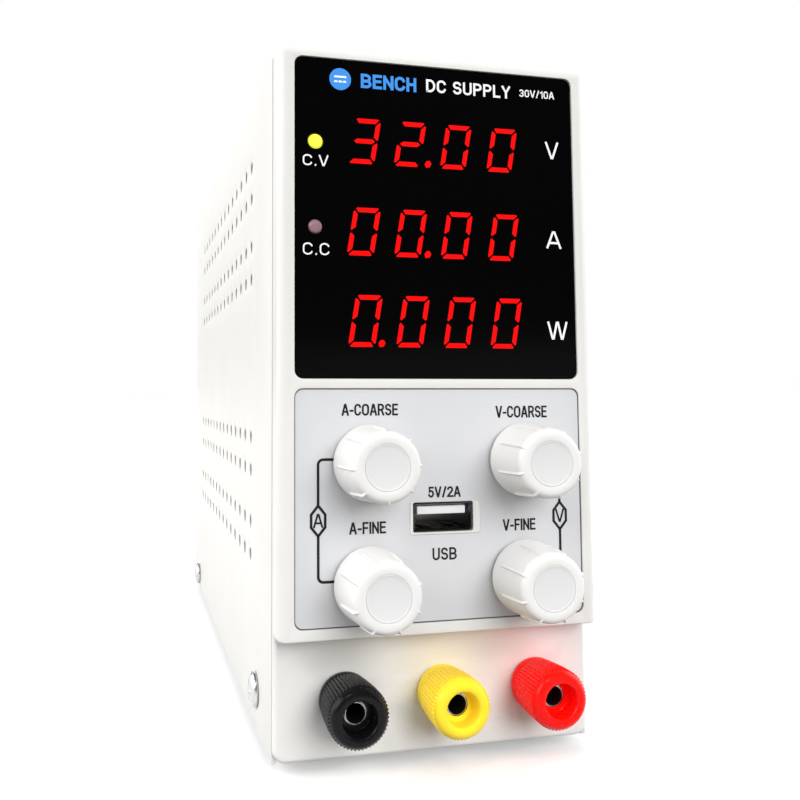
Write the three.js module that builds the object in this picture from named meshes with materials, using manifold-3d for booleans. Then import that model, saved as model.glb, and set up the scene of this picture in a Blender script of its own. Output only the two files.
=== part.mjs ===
// Bench power supply: a narrow upright instrument case with a three-row LED display,
// four potentiometer knobs, a USB charging socket and three 4 mm binding posts in front,
// and a cooling fan, mains inlet, power switch and voltage selector behind.
//
// Millimetres, +Z up, front towards -Y. Inside the assembly y = 0 is the front face of
// the bezel and z = 0 is the underside of the case; the last lines move the origin to
// the middle of the object's footprint.

import * as THREE from 'three';
import * as BufferGeometryUtils from 'three/addons/utils/BufferGeometryUtils.js';
import Module from 'manifold-3d';

const wasm = await Module();
wasm.setup();

// ---------------------------------------------------------------- driving dimensions

const WIDTH = 75;
const HEIGHT = 158;
const DEPTH = 200;
const SHEET = 1.2; // sheet steel of the case
const GAP = 0.3; // clearance kept between neighbouring pieces
const SNUG = 0.1; // clearance of a piece fixed in its seat
const THROUGH = 1; // how far a cutting tool runs past the face it opens

const BEZEL_WALL = 2;
const BEZEL_FRONT = 3; // thickness of the bezel's front wall
const BEZEL_SIDE = 7; // depth of bezel that shows in front of the cover
const BEZEL_BACK = 13; // where the lip inside the cover ends
const LEDGE_Z = 27; // below this the front steps back
const BAND_Y = 5.8; // front of the stepped-back terminal band
const CORNER = 3; // corner radius of the bezel outline

const WINDOW = { x: 33.65, bottom: 83.15, top: 154.7, corner: 1.8, front: 0.4, back: 2.4 };
const OVERLAY = { x: 33.7, bottom: 29.9, top: 80.9, corner: 1.8, front: 0.35, back: 0.8 };

const KNOB = {
  baseRadius: 8.3, faceRadius: 6.95, length: 13.4, rim: 0.9, flutes: 8, fluteTurn: 15, segments: 24,
  cavityRadius: 6.3, cavityDepth: 4, capRadius: 4.75, capDepth: 1,
};
const KNOBS = {
  amps_coarse: [-17.1, 64.8],
  amps_fine: [-17.1, 38.7],
  volts_coarse: [19.3, 64.9],
  volts_fine: [19.3, 38.8],
};
const POT = { radius: 8, front: BEZEL_FRONT + GAP, back: 11.3, bushing: 4.5, shaft: 3 };

const TERMINAL_Z = 13.2;
const TERMINALS = { negative: -21.4, ground: 1.2, positive: 23.9 };
const TERMINAL = {
  baseRadius: 5.9, bulgeRadius: 6.6, bulge: -4, frontRadius: 6.45, lip: 1.1, faceRadius: 5.5, face: -7.3,
  mouth: 3.4, mouthDepth: 3.6, thread: 2.9, threadFront: -2.8, tube: 2.35, bore: 2, boreEnd: 10,
  nutRadius: 5, nutDepth: 3, stud: 20, insertRadius: 4.2, insertFront: -2.9, insertBack: 3,
};

const DISPLAY = { x0: -23.4, width: 44.4, height: 16, depth: 7 };
const DISPLAY_ROWS = { volts_display: 136.3, amps_display: 115.9, watts_display: 96 };
const INDICATORS = { cv_indicator: [-28.9, 135.7], cc_indicator: [-29, 116.5] };
const INDICATOR = { radius: 1.6, collar: 2, length: 8 };

const USB = { z: 52.55, width: 14, height: 6.4, wall: 0.6, back: 11.6 };

const VENT = {
  radius: 1.65, sides: 6, firstY: 38, pitch: 10, columns: 14,
  rows: [39, 47.3, 60.3, 68.7, 109.8, 118.3, 131, 139.5],
};
const SCREWS = { front: [27.8, 9], rear: [180, 5] };
const SCREW = { shank: 1.7, length: 6, head: 4.2, proud: 1.9 };

const FLANGE_HEIGHT = 16;
const FOOT = { radius: 6.5, height: 3, x: 26, front: 22, rear: 180 };

const FAN = { z: 120, size: 60, depth: 15, bore: 28, hub: 13, blades: 7 };
const INLET = { z: 34.5, halfWidth: 13.8, halfHeight: 13.5, flangeX: 25, flangeZ: 15.5, depth: 27 };
const SWITCH = { x: -17, z: 71, body: 9.4, halfWidth: 6.4, flange: 10.6, flangeHalf: 7.6, depth: 18 };
const SELECTOR = { x: 17, z: 71, halfWidth: 11, halfHeight: 5.5, depth: 10, slot: 6.5 };

const REAR_FACE = DEPTH - 1; // the rear panel sits 1 mm inside the cover's edge
const REAR_INSIDE = REAR_FACE - SHEET;
const FLANGE_BACK = REAR_FACE + SNUG; // where a part's flange rests on the rear panel
const INNER_X = WIDTH / 2 - SHEET; // inside face of the cover's walls

// ---------------------------------------------------------------- geometry helpers

// Turns a geometry inside out when its faces point inwards.
function outward(geometry) {
  const position = geometry.getAttribute('position');
  const index = geometry.getIndex();
  const [a, b, c] = [new THREE.Vector3(), new THREE.Vector3(), new THREE.Vector3()];
  let volume = 0;
  for (let i = 0; i < index.count; i += 3) {
    a.fromBufferAttribute(position, index.getX(i));
    b.fromBufferAttribute(position, index.getX(i + 1));
    c.fromBufferAttribute(position, index.getX(i + 2));
    volume += a.dot(b.cross(c));
  }
  if (volume < 0) {
    for (let i = 0; i < index.count; i += 3) {
      const first = index.getX(i);
      index.setX(i, index.getX(i + 1));
      index.setX(i + 1, first);
    }
  }
  return geometry;
}

// A closed mesh with shared vertices, as the boolean library needs it.
function closed(geometry) {
  const bare = geometry.clone();
  bare.deleteAttribute('normal');
  bare.deleteAttribute('uv');
  return outward(BufferGeometryUtils.mergeVertices(bare, 1e-4));
}

function toManifold(geometry) {
  const mesh = closed(geometry);
  return new wasm.Manifold(new wasm.Mesh({
    numProp: 3,
    vertProperties: new Float32Array(mesh.getAttribute('position').array),
    triVerts: new Uint32Array(mesh.getIndex().array),
  }));
}

function toGeometry(manifold) {
  const mesh = manifold.getMesh();
  const geometry = new THREE.BufferGeometry();
  geometry.setAttribute('position', new THREE.BufferAttribute(mesh.vertProperties, 3));
  geometry.setIndex(new THREE.BufferAttribute(mesh.triVerts, 1));
  return geometry;
}

function join(...geometries) {
  return toGeometry(geometries.map(toManifold).reduce((whole, next) => whole.add(next)));
}

function cut(body, ...tools) {
  return toGeometry(tools.map(toManifold).reduce((rest, tool) => rest.subtract(tool), toManifold(body)));
}

function box([x0, x1], [y0, y1], [z0, z1]) {
  const geometry = new THREE.BoxGeometry(x1 - x0, y1 - y0, z1 - z0);
  return geometry.translate((x0 + x1) / 2, (y0 + y1) / 2, (z0 + z1) / 2);
}

// A box centred on x and z, from y0 to y1.
function block(x, z, halfX, halfZ, y0, y1) {
  return box([x - halfX, x + halfX], [y0, y1], [z - halfZ, z + halfZ]);
}

// A cylinder along Y.
function rod(x, z, radius, y0, y1, sides = 16) {
  return new THREE.CylinderGeometry(radius, radius, y1 - y0, sides).translate(x, (y0 + y1) / 2, z);
}

// A profile of [radius, y] pairs turned about an axis along Y.
function turned(x, z, profile, sides = 16) {
  const points = profile.map(([radius, y]) => new THREE.Vector2(radius, y));
  return new THREE.LatheGeometry(points, sides).translate(x, 0, z);
}

// An outline in X and Z, as seen from the front, run from y0 to y1.
function prismY(shape, y0, y1, curveSegments = 3) {
  const geometry = new THREE.ExtrudeGeometry(shape, { depth: y1 - y0, bevelEnabled: false, curveSegments });
  return geometry.rotateX(Math.PI / 2).translate(0, y1, 0);
}

// An outline in Y and Z run from x0 to x1.
function prismX(shape, x0, x1, curveSegments = 3) {
  const geometry = new THREE.ExtrudeGeometry(shape, { depth: x1 - x0, bevelEnabled: false, curveSegments });
  return geometry.rotateX(Math.PI / 2).rotateZ(Math.PI / 2).translate(x0, 0, 0);
}

// An outline in X and Y run from z0 to z1.
function prismZ(shape, z0, z1, curveSegments = 3) {
  const geometry = new THREE.ExtrudeGeometry(shape, { depth: z1 - z0, bevelEnabled: false, curveSegments });
  return geometry.translate(0, 0, z0);
}

function polygon(points) {
  return new THREE.Shape(points.map(([a, b]) => new THREE.Vector2(a, b)));
}

function roundedRectangle([a0, a1], [b0, b1], radius) {
  const shape = new THREE.Shape();
  shape.moveTo(a0 + radius, b0);
  shape.lineTo(a1 - radius, b0);
  shape.absarc(a1 - radius, b0 + radius, radius, -Math.PI / 2, 0);
  shape.lineTo(a1, b1 - radius);
  shape.absarc(a1 - radius, b1 - radius, radius, 0, Math.PI / 2);
  shape.lineTo(a0 + radius, b1);
  shape.absarc(a0 + radius, b1 - radius, radius, Math.PI / 2, Math.PI);
  shape.lineTo(a0, b0 + radius);
  shape.absarc(a0 + radius, b0 + radius, radius, Math.PI, 1.5 * Math.PI);
  return shape;
}

// A rectangular opening or pane grown by a clearance.
function pane({ x, bottom, top, corner }, grow = 0) {
  return roundedRectangle([-x - grow, x + grow], [bottom - grow, top + grow], corner + grow);
}

// ---------------------------------------------------------------- the assembly

const assembly = new THREE.Group();

function add(name, geometry, color, roughness, metalness = 0) {
  const solid = outward(geometry.getIndex() ? geometry : closed(geometry));
  solid.computeVertexNormals();
  const material = new THREE.MeshStandardMaterial({ color, roughness, metalness });
  const mesh = new THREE.Mesh(solid, material);
  mesh.name = name;
  assembly.add(mesh);
}

const CREAM = 0xf6f4ec;
const BLACK = 0x18181a;
const BOARD_GREEN = 0x2c6b46;
const ZINC = 0xb9bcbf;

// ---------------------------------------------------------------- case

// The cover is one bent sheet: two sides and the top, with vents in both sides.
function topCover() {
  const bend = 2;
  const outer = new THREE.Shape();
  const x = WIDTH / 2;
  outer.moveTo(x, 0);
  outer.lineTo(x, HEIGHT - bend);
  outer.absarc(x - bend, HEIGHT - bend, bend, 0, Math.PI / 2);
  outer.lineTo(-x + bend, HEIGHT);
  outer.absarc(-x + bend, HEIGHT - bend, bend, Math.PI / 2, Math.PI);
  outer.lineTo(-x, 0);
  outer.lineTo(-INNER_X, 0);
  outer.lineTo(-INNER_X, HEIGHT - SHEET);
  outer.lineTo(INNER_X, HEIGHT - SHEET);
  outer.lineTo(INNER_X, 0);
  const vents = [];
  for (const z of VENT.rows) {
    for (let column = 0; column < VENT.columns; column += 1) {
      const y = VENT.firstY + column * VENT.pitch;
      const hole = new THREE.CylinderGeometry(VENT.radius, VENT.radius, WIDTH + 2 * THROUGH, VENT.sides);
      vents.push(hole.rotateZ(Math.PI / 2).translate(0, y, z));
    }
  }
  const screwHoles = Object.values(SCREWS).map(([y, z]) => {
    const hole = new THREE.CylinderGeometry(SCREW.shank + GAP, SCREW.shank + GAP, WIDTH + 2 * THROUGH, 8);
    return hole.rotateZ(Math.PI / 2).translate(0, y, z);
  });
  const holes = BufferGeometryUtils.mergeGeometries([...vents, ...screwHoles]);
  return cut(prismY(outer, BEZEL_SIDE + 0.2, DEPTH), holes);
}

// The chassis is the bottom plate with a low flange up each side, inside the cover.
function baseChassis() {
  const outside = INNER_X - GAP;
  const inside = outside - SHEET;
  const profile = polygon([
    [-outside, 0], [outside, 0], [outside, FLANGE_HEIGHT], [inside, FLANGE_HEIGHT],
    [inside, SHEET], [-inside, SHEET], [-inside, FLANGE_HEIGHT], [-outside, FLANGE_HEIGHT],
  ]);
  const screwHoles = Object.values(SCREWS).map(([y, z]) => {
    const hole = new THREE.CylinderGeometry(SCREW.shank + GAP, SCREW.shank + GAP, WIDTH, 8);
    return hole.rotateZ(Math.PI / 2).translate(0, y, z);
  });
  return cut(prismY(profile, BEZEL_BACK + GAP, REAR_INSIDE - GAP), ...screwHoles);
}

function rearPanel() {
  const half = INNER_X - GAP;
  const plate = box([-half, half], [REAR_INSIDE, REAR_FACE], [GAP, HEIGHT - SHEET - GAP]);
  const y0 = REAR_INSIDE - THROUGH;
  const y1 = REAR_FACE + THROUGH;
  return cut(
    plate,
    rod(0, FAN.z, FAN.bore, y0, y1, 24),
    block(0, INLET.z, INLET.halfWidth + GAP, INLET.halfHeight + GAP, y0, y1),
    block(SWITCH.x, SWITCH.z, SWITCH.body + GAP, SWITCH.halfWidth + GAP, y0, y1),
    block(SELECTOR.x, SELECTOR.z, SELECTOR.halfWidth + GAP, SELECTOR.halfHeight + GAP, y0, y1),
  );
}

// The bezel is a moulded tray: a thick front wall that steps back at the terminal band,
// side walls that show in front of the cover, and a lip that plugs into the cover.
function frontBezel() {
  const half = WIDTH / 2 - 0.2;
  const lip = INNER_X - GAP;
  const inside = lip - BEZEL_WALL + 0.4;
  const outline = roundedRectangle([-half, half], [0.2, HEIGHT - 0.2], CORNER);
  const body = prismY(outline, 0, BEZEL_SIDE);
  const plug = box([-lip, lip], [BEZEL_SIDE - 1, BEZEL_BACK], [SHEET + GAP, HEIGHT - SHEET - GAP]);
  const ceiling = HEIGHT - SHEET - BEZEL_WALL;
  const step = box([-WIDTH, WIDTH], [-THROUGH, BAND_Y], [-THROUGH, LEDGE_Z]);
  const upperHollow = box([-inside, inside], [BEZEL_FRONT, BEZEL_BACK + 1], [LEDGE_Z + BEZEL_WALL, ceiling]);
  const lowerFront = BAND_Y + BEZEL_WALL;
  const lowerHollow = box([-inside, inside], [lowerFront, BEZEL_BACK + 1], [BEZEL_WALL + 1.5, LEDGE_Z + 2]);
  const recess = prismY(pane(OVERLAY, SNUG), -THROUGH, OVERLAY.back + SNUG);
  const island = block(0, USB.z, USB.width / 2 + 1.3, USB.height / 2 + 1.2, OVERLAY.front, OVERLAY.back + 1);
  const holes = [
    prismY(pane(WINDOW, SNUG), -THROUGH, BEZEL_FRONT + THROUGH),
    block(0, USB.z, USB.width / 2 + SNUG, USB.height / 2 + SNUG, -THROUGH, BEZEL_FRONT + THROUGH),
  ];
  for (const [x, z] of Object.values(KNOBS)) {
    holes.push(rod(x, z, POT.bushing + GAP, -THROUGH, BEZEL_FRONT + THROUGH));
  }
  for (const x of Object.values(TERMINALS)) {
    holes.push(rod(x, TERMINAL_Z, TERMINAL.thread + GAP, 0, BAND_Y + BEZEL_WALL + THROUGH));
  }
  const tray = cut(join(body, plug), step, upperHollow, lowerHollow, recess);
  return cut(join(tray, island), ...holes);
}

add('top_cover', topCover(), CREAM, 0.5);
add('base_chassis', baseChassis(), CREAM, 0.5);
add('rear_panel', rearPanel(), CREAM, 0.5);
add('front_bezel', frontBezel(), CREAM, 0.42);

// Rubber feet under the four corners of the chassis.
for (const [end, y] of [['front', FOOT.front], ['rear', FOOT.rear]]) {
  for (const [side, x] of [['left', -FOOT.x], ['right', FOOT.x]]) {
    const foot = new THREE.CylinderGeometry(FOOT.radius, FOOT.radius - 1, FOOT.height - SNUG, 16);
    foot.rotateX(Math.PI / 2).translate(x, y, -(FOOT.height + SNUG) / 2);
    add(`foot_${end}_${side}`, foot, BLACK, 0.9);
  }
}

// Truss-head screws that hold the cover to the chassis flanges.
for (const [end, [y, z]] of Object.entries(SCREWS)) {
  for (const [side, sign] of [['left', -1], ['right', 1]]) {
    const seat = WIDTH / 2 + SNUG;
    const tip = seat - SCREW.length;
    const top = seat + SCREW.proud;
    const profile = [
      [0, tip], [SCREW.shank, tip], [SCREW.shank, seat], [SCREW.head, seat],
      [SCREW.head - 0.8, seat + 0.6 * SCREW.proud], [SCREW.head / 2, top], [0, top],
    ];
    const screw = turned(0, 0, profile, 12).rotateZ(-sign * Math.PI / 2).translate(0, y, z);
    add(`cover_screw_${end}_${side}`, screw, ZINC, 0.3, 1);
  }
}

// ---------------------------------------------------------------- display

const windowHoles = Object.values(INDICATORS).map(([x, z]) => (
  rod(x, z, INDICATOR.radius + SNUG, -THROUGH, BEZEL_FRONT, 12)
));
add('display_window', cut(prismY(pane(WINDOW), WINDOW.front, WINDOW.back), ...windowHoles), BLACK, 0.08);

for (const [name, z] of Object.entries(DISPLAY_ROWS)) {
  const front = WINDOW.back + GAP;
  const x = [DISPLAY.x0, DISPLAY.x0 + DISPLAY.width];
  const body = box(x, [front, front + DISPLAY.depth], [z - DISPLAY.height / 2, z + DISPLAY.height / 2]);
  add(name, body, 0xc01818, 0.4);
}

// Round 3 mm LEDs standing in the window's two small holes.
const INDICATOR_COLORS = { cv_indicator: 0xc8e632, cc_indicator: 0x8f7f86 };
for (const [name, [x, z]] of Object.entries(INDICATORS)) {
  const { radius, collar, length } = INDICATOR;
  const shoulder = WINDOW.back + GAP;
  const profile = [
    [0, WINDOW.front], [radius - 0.3, WINDOW.front], [radius, WINDOW.front + 0.5], [radius, shoulder],
    [collar, shoulder], [collar, length], [0, length],
  ];
  add(name, turned(x, z, profile, 12), INDICATOR_COLORS[name], 0.25);
}

const FRONT_BOARD = [12, 13.6];
const boardHalf = 33.2;
const frontBoard = box([-boardHalf, boardHalf], FRONT_BOARD, [32, 152]);
add('front_board', frontBoard, BOARD_GREEN, 0.6);

// ---------------------------------------------------------------- control panel

const overlayHoles = Object.values(KNOBS).map(([x, z]) => rod(x, z, POT.bushing + GAP, -THROUGH, BEZEL_FRONT));
overlayHoles.push(block(0, USB.z, USB.width / 2 + 1.5, USB.height / 2 + 1.4, -THROUGH, BEZEL_FRONT));
const overlay = cut(prismY(pane(OVERLAY), OVERLAY.front, OVERLAY.back), ...overlayHoles);
add('control_overlay', overlay, 0xdcdee0, 0.5);

// A tapered knob with shallow flutes, a hollow back and a seat for its cap.
function knob(x, z) {
  const { baseRadius, faceRadius, length, rim, segments } = KNOB;
  const back = -GAP;
  const body = turned(x, z, [
    [0, back], [baseRadius, back], [faceRadius, -length + rim], [faceRadius - rim, -length], [0, -length],
  ], segments);
  const tools = [
    rod(x, z, KNOB.cavityRadius, -KNOB.cavityDepth, THROUGH, 12),
    rod(x, z, POT.shaft + SNUG, -11.7, 0, 12),
    rod(x, z, KNOB.capRadius + SNUG, -length - THROUGH, -length + KNOB.capDepth + 2 * SNUG, segments),
  ];
  for (let flute = 0; flute < KNOB.flutes; flute += 1) {
    const angle = THREE.MathUtils.degToRad(KNOB.fluteTurn + (flute / KNOB.flutes) * 360);
    const groove = new THREE.BoxGeometry(0.9, length, 0.9);
    groove.rotateY(Math.PI / 4).translate(0, -length / 2 - 3.4, faceRadius + 0.1);
    groove.rotateX(-Math.atan((baseRadius - faceRadius) / length) / 2);
    tools.push(groove.rotateY(angle).translate(x, 0, z));
  }
  return cut(body, ...tools);
}

for (const [name, [x, z]] of Object.entries(KNOBS)) {
  const capFront = -KNOB.length + SNUG;
  const cap = rod(x, z, KNOB.capRadius, capFront, capFront + KNOB.capDepth, KNOB.segments);
  add(`${name}_knob`, knob(x, z), CREAM, 0.4);
  add(`${name}_cap`, cap, 0xecebea, 0.4);
  add(`${name}_shaft`, rod(x, z, POT.shaft, -11.5, 9, 12), ZINC, 0.35, 1);
  const can = join(
    rod(x, z, POT.radius, POT.front, POT.back, 16),
    rod(x, z, POT.bushing, -2.6, POT.front + 1, 12),
  );
  const bore = rod(x, z, POT.shaft + GAP, -2.6 - THROUGH, 9 + GAP, 12);
  add(`${name}_potentiometer`, cut(can, bore), ZINC, 0.4, 1);
}

// A USB type A receptacle: a steel shell open in front, with a contact tongue inside.
const usbInner = [USB.width / 2 - USB.wall, USB.height / 2 - USB.wall];
const usbShell = cut(
  block(0, USB.z, USB.width / 2, USB.height / 2, OVERLAY.front, USB.back),
  block(0, USB.z, usbInner[0], usbInner[1], -THROUGH, USB.back - USB.wall),
);
add('usb_shell', usbShell, ZINC, 0.3, 1);
const tongueTop = USB.z + usbInner[1] - GAP;
const usbTongue = box([-5.5, 5.2], [2.4, USB.back - USB.wall - GAP], [tongueTop - 2, tongueTop]);
add('usb_tongue', usbTongue, 0xe8e8e4, 0.45);

// ---------------------------------------------------------------- binding posts

// Each binding post is a bored metal stud through the band, a plastic cap with a mouth
// sunk down to the stud's tube, and the threaded brass insert that carries the cap along
// the stud as it turns.
function bindingPost(name, x, color) {
  const base = BAND_Y - GAP;
  const { baseRadius, bulgeRadius, bulge, frontRadius, lip, faceRadius, face, mouth, mouthDepth } = TERMINAL;
  const { thread, threadFront, tube, bore, boreEnd, nutRadius, nutDepth, stud } = TERMINAL;
  const { insertRadius, insertFront, insertBack } = TERMINAL;
  const seat = insertRadius + SNUG;
  const clearance = thread + GAP;
  const tubeFront = face + mouthDepth;
  const cap = turned(x, TERMINAL_Z, [
    [clearance, base], [baseRadius, base], [bulgeRadius, bulge], [frontRadius, face + lip], [faceRadius, face],
    [mouth, face], [mouth, tubeFront], [tube + GAP, tubeFront], [tube + GAP, insertFront - SNUG],
    [seat, insertFront - SNUG], [seat, insertBack + SNUG], [clearance, insertBack + SNUG], [clearance, base],
  ], 18);
  add(`${name}_cap`, cap, color, 0.35);
  const insert = turned(x, TERMINAL_Z, [
    [clearance, insertFront], [clearance, insertBack], [insertRadius, insertBack],
    [insertRadius, insertFront], [clearance, insertFront],
  ], 12);
  add(`${name}_insert`, insert, 0xc9a44c, 0.3, 1);
  const nut = BAND_Y + BEZEL_WALL + GAP;
  const post = turned(x, TERMINAL_Z, [
    [0, boreEnd], [bore, boreEnd], [bore, tubeFront], [tube, tubeFront], [tube, threadFront],
    [thread, threadFront], [thread, nut], [nutRadius, nut], [nutRadius, nut + nutDepth],
    [thread, nut + nutDepth], [thread, stud], [0, stud],
  ], 12);
  add(`${name}_post`, post, ZINC, 0.3, 1);
}

bindingPost('negative_terminal', TERMINALS.negative, BLACK);
bindingPost('ground_terminal', TERMINALS.ground, 0xf7c518);
bindingPost('positive_terminal', TERMINALS.positive, 0xe42414);

// ---------------------------------------------------------------- converter inside

const BOARD = { x: 33, y: [32, 168], z: [8, 9.6] };
add('main_board', box([-BOARD.x, BOARD.x], BOARD.y, BOARD.z), BOARD_GREEN, 0.6);

const onBoard = BOARD.z[1] + SNUG;

// A finned aluminium heatsink lies along the left of the board, in the fan's draught.
function heatsink() {
  const [left, right] = [-32, -8];
  const fins = 5;
  const pitch = (right - left) / fins;
  const outline = [[left, onBoard], [right, onBoard]];
  for (let fin = fins - 1; fin >= 0; fin -= 1) {
    const x = left + fin * pitch;
    outline.push([x + pitch, 55], [x + pitch - 1.6, 55]);
    if (fin > 0) outline.push([x + pitch - 1.6, 14], [x, 14]);
  }
  outline.push([left + pitch - 1.6, 14], [left + 1.6, 14], [left + 1.6, 55], [left, 55]);
  return prismY(polygon(outline), 60, 150);
}
add('heatsink', heatsink(), 0xa8abad, 0.45, 1);

// The transformer is a ferrite frame round a taped winding.
const transformer = join(
  box([2, 30], [88, 124], [onBoard, 40]),
  box([5, 27], [82, 130], [onBoard + 5, 35]),
);
add('transformer', transformer, 0x3a3a3c, 0.7);

const capacitor = new THREE.CylinderGeometry(11, 11, 34, 20);
capacitor.rotateX(Math.PI / 2).translate(14, 58, onBoard + 17);
add('bulk_capacitor', capacitor, 0x26324a, 0.4);

// ---------------------------------------------------------------- fan

const fanBack = REAR_INSIDE - GAP;
const fanFront = fanBack - FAN.depth;

// Square frame with a round bore, four struts and the motor plate that holds the rotor.
function fanFrame() {
  const half = FAN.size / 2;
  const frame = cut(
    prismY(roundedRectangle([-half, half], [FAN.z - half, FAN.z + half], 4), fanFront, fanBack, 2),
    rod(0, FAN.z, FAN.bore, fanFront - THROUGH, fanBack + THROUGH, 24),
  );
  const plate = rod(0, FAN.z, FAN.hub, fanFront, fanFront + 2.5, 20);
  const across = box([-half + 1, half - 1], [fanFront, fanFront + 2], [FAN.z - 1.2, FAN.z + 1.2]);
  const upright = box([-1.2, 1.2], [fanFront, fanFront + 2], [FAN.z - half + 1, FAN.z + half - 1]);
  return join(frame, plate, across, upright);
}
add('fan_frame', fanFrame(), BLACK, 0.5);

// Hub cup with pitched blades.
function fanRotor() {
  const front = fanFront + 2.5 + GAP;
  const back = fanBack - 0.8;
  const pieces = [rod(0, 0, FAN.hub, front, back, 20)];
  const reach = FAN.bore - 1.2;
  const root = FAN.hub - 1.5;
  for (let blade = 0; blade < FAN.blades; blade += 1) {
    const vane = new THREE.BoxGeometry(1.2, 12.4, reach - root);
    vane.translate(0, 0, (reach + root) / 2).rotateZ(0.7);
    vane.translate(0, (front + back) / 2, 0).rotateY((blade / FAN.blades) * 2 * Math.PI);
    pieces.push(vane);
  }
  return join(...pieces).translate(0, 0, FAN.z);
}
add('fan_rotor', fanRotor(), BLACK, 0.45);

// Wire finger guard: rings on four spokes that end in eyes over the frame's corners.
function fanGuard() {
  const wire = 0.8;
  const y = REAR_FACE + GAP + wire;
  const ring = (radius) => turned(0, FAN.z, [
    [radius - wire, y - wire], [radius + wire, y - wire], [radius + wire, y + wire],
    [radius - wire, y + wire], [radius - wire, y - wire],
  ], 20);
  const spoke = (turn) => {
    const bar = new THREE.BoxGeometry(71, 2 * wire, 2 * wire);
    return bar.rotateY(turn).translate(0, y + wire, FAN.z);
  };
  const eye = ([sx, sz]) => rod(sx * 25, FAN.z + sz * 25, 3.2, y - wire, y + 2 * wire, 10);
  const eyes = [[1, 1], [1, -1], [-1, 1], [-1, -1]].map(eye);
  return join(...[9, 18, 27].map(ring), spoke(Math.PI / 4), spoke(-Math.PI / 4), ...eyes);
}
add('fan_guard', fanGuard(), ZINC, 0.3, 1);

// ---------------------------------------------------------------- mains entry

const DRAWER = { z: INLET.z - 8.6, halfWidth: 11, halfHeight: 3.4, depth: 22 };
const SOCKET_Z = INLET.z + 4.4;

// A C14 inlet: flange, body, hexagonal socket with three blades, and the drawer's slot.
function powerInlet() {
  const face = FLANGE_BACK + 2;
  const floor = face - 16;
  const flange = block(0, INLET.z, INLET.flangeX, INLET.flangeZ, FLANGE_BACK, face);
  const body = block(0, INLET.z, INLET.halfWidth, INLET.halfHeight, face - INLET.depth, face - 1);
  const [halfWidth, top, bottom, chamfer] = [12, 8, -8, 5];
  const socket = polygon([
    [-halfWidth, bottom], [halfWidth, bottom], [halfWidth, top - chamfer], [halfWidth - chamfer, top],
    [-halfWidth + chamfer, top], [-halfWidth, top - chamfer],
  ].map(([x, z]) => [x, z + SOCKET_Z]));
  const slotBack = face - DRAWER.depth - 1;
  const slot = block(0, DRAWER.z, DRAWER.halfWidth + GAP, DRAWER.halfHeight + GAP, slotBack, face + 1);
  const blade = (x, z) => block(x, SOCKET_Z + z, 1, 2, floor - 1, face - 3);
  const shell = cut(join(flange, body), prismY(socket, floor, face + THROUGH), slot);
  return join(shell, blade(-7, -1.5), blade(0, 2.5), blade(7, -1.5));
}
add('power_inlet', powerInlet(), BLACK, 0.45);

// The fuse drawer has a front lip to pull it by.
const drawerFace = FLANGE_BACK + 2 + GAP;
const fuseDrawer = join(
  block(0, DRAWER.z, DRAWER.halfWidth, DRAWER.halfHeight, drawerFace - DRAWER.depth, drawerFace - 0.5),
  block(0, DRAWER.z, DRAWER.halfWidth + 0.6, DRAWER.halfHeight + 0.4, drawerFace, drawerFace + 1.2),
  block(0, DRAWER.z, 5, 2, drawerFace - 1, drawerFace + 0.5),
);
add('fuse_drawer', fuseDrawer, BLACK, 0.5);

// Rocker switch: a framed well, and a rocker whose two faces meet in a shallow V.
const ROCKER = { radius: 8.4, tilt: 11, halfWidth: 5, pivotY: FLANGE_BACK - 0.6 };
const switchWell = block(SWITCH.x, SWITCH.z, ROCKER.radius + GAP, ROCKER.halfWidth + GAP,
  ROCKER.pivotY - 4, FLANGE_BACK + 2 + THROUGH);
const switchHousing = cut(
  join(
    block(SWITCH.x, SWITCH.z, SWITCH.flange, SWITCH.flangeHalf, FLANGE_BACK, FLANGE_BACK + 2),
    block(SWITCH.x, SWITCH.z, SWITCH.body, SWITCH.halfWidth, FLANGE_BACK - SWITCH.depth, FLANGE_BACK + 1),
  ),
  switchWell,
);
add('switch_housing', switchHousing, BLACK, 0.45);

function switchRocker() {
  const at = (degrees, radius = ROCKER.radius) => {
    const angle = THREE.MathUtils.degToRad(degrees);
    return [radius * Math.sin(angle), radius * Math.cos(angle)];
  };
  const half = [at(58), at(72), at(86), [5, -1.4]];
  const mirrored = half.map(([x, y]) => [-x, y]).reverse();
  const outline = polygon([[0, 3.2], ...half, ...mirrored]);
  const rocker = prismZ(outline, -ROCKER.halfWidth, ROCKER.halfWidth);
  rocker.rotateZ(THREE.MathUtils.degToRad(-ROCKER.tilt));
  return rocker.translate(SWITCH.x, ROCKER.pivotY, SWITCH.z);
}
add('switch_rocker', switchRocker(), BLACK, 0.4);

// Voltage selector: a slider with a screwdriver slot in a recessed well.
const slider = { halfWidth: 4, halfHeight: 2.6 };
const { halfWidth: selectorHalf, halfHeight: selectorHeight, depth: selectorDepth } = SELECTOR;
const selectorHousing = cut(
  join(
    block(SELECTOR.x, SELECTOR.z, selectorHalf + 3, selectorHeight + 2, FLANGE_BACK, FLANGE_BACK + 1.4),
    block(SELECTOR.x, SELECTOR.z, selectorHalf, selectorHeight, FLANGE_BACK - selectorDepth, FLANGE_BACK + 1),
  ),
  block(SELECTOR.x, SELECTOR.z, SELECTOR.slot, slider.halfHeight + GAP, FLANGE_BACK - 5, FLANGE_BACK + 3),
);
add('selector_housing', selectorHousing, 0xb02418, 0.45);
const sliderX = SELECTOR.x - SELECTOR.slot + slider.halfWidth + GAP;
const sliderFront = FLANGE_BACK + 0.6;
const selectorSlider = cut(
  block(sliderX, SELECTOR.z, slider.halfWidth, slider.halfHeight, FLANGE_BACK - 5 + GAP, sliderFront),
  block(sliderX, SELECTOR.z, 0.6, slider.halfHeight + 1, sliderFront - 1.2, sliderFront + 1),
);
add('selector_slider', selectorSlider, 0xd8d6d0, 0.4);

// ---------------------------------------------------------------- place the origin

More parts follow.
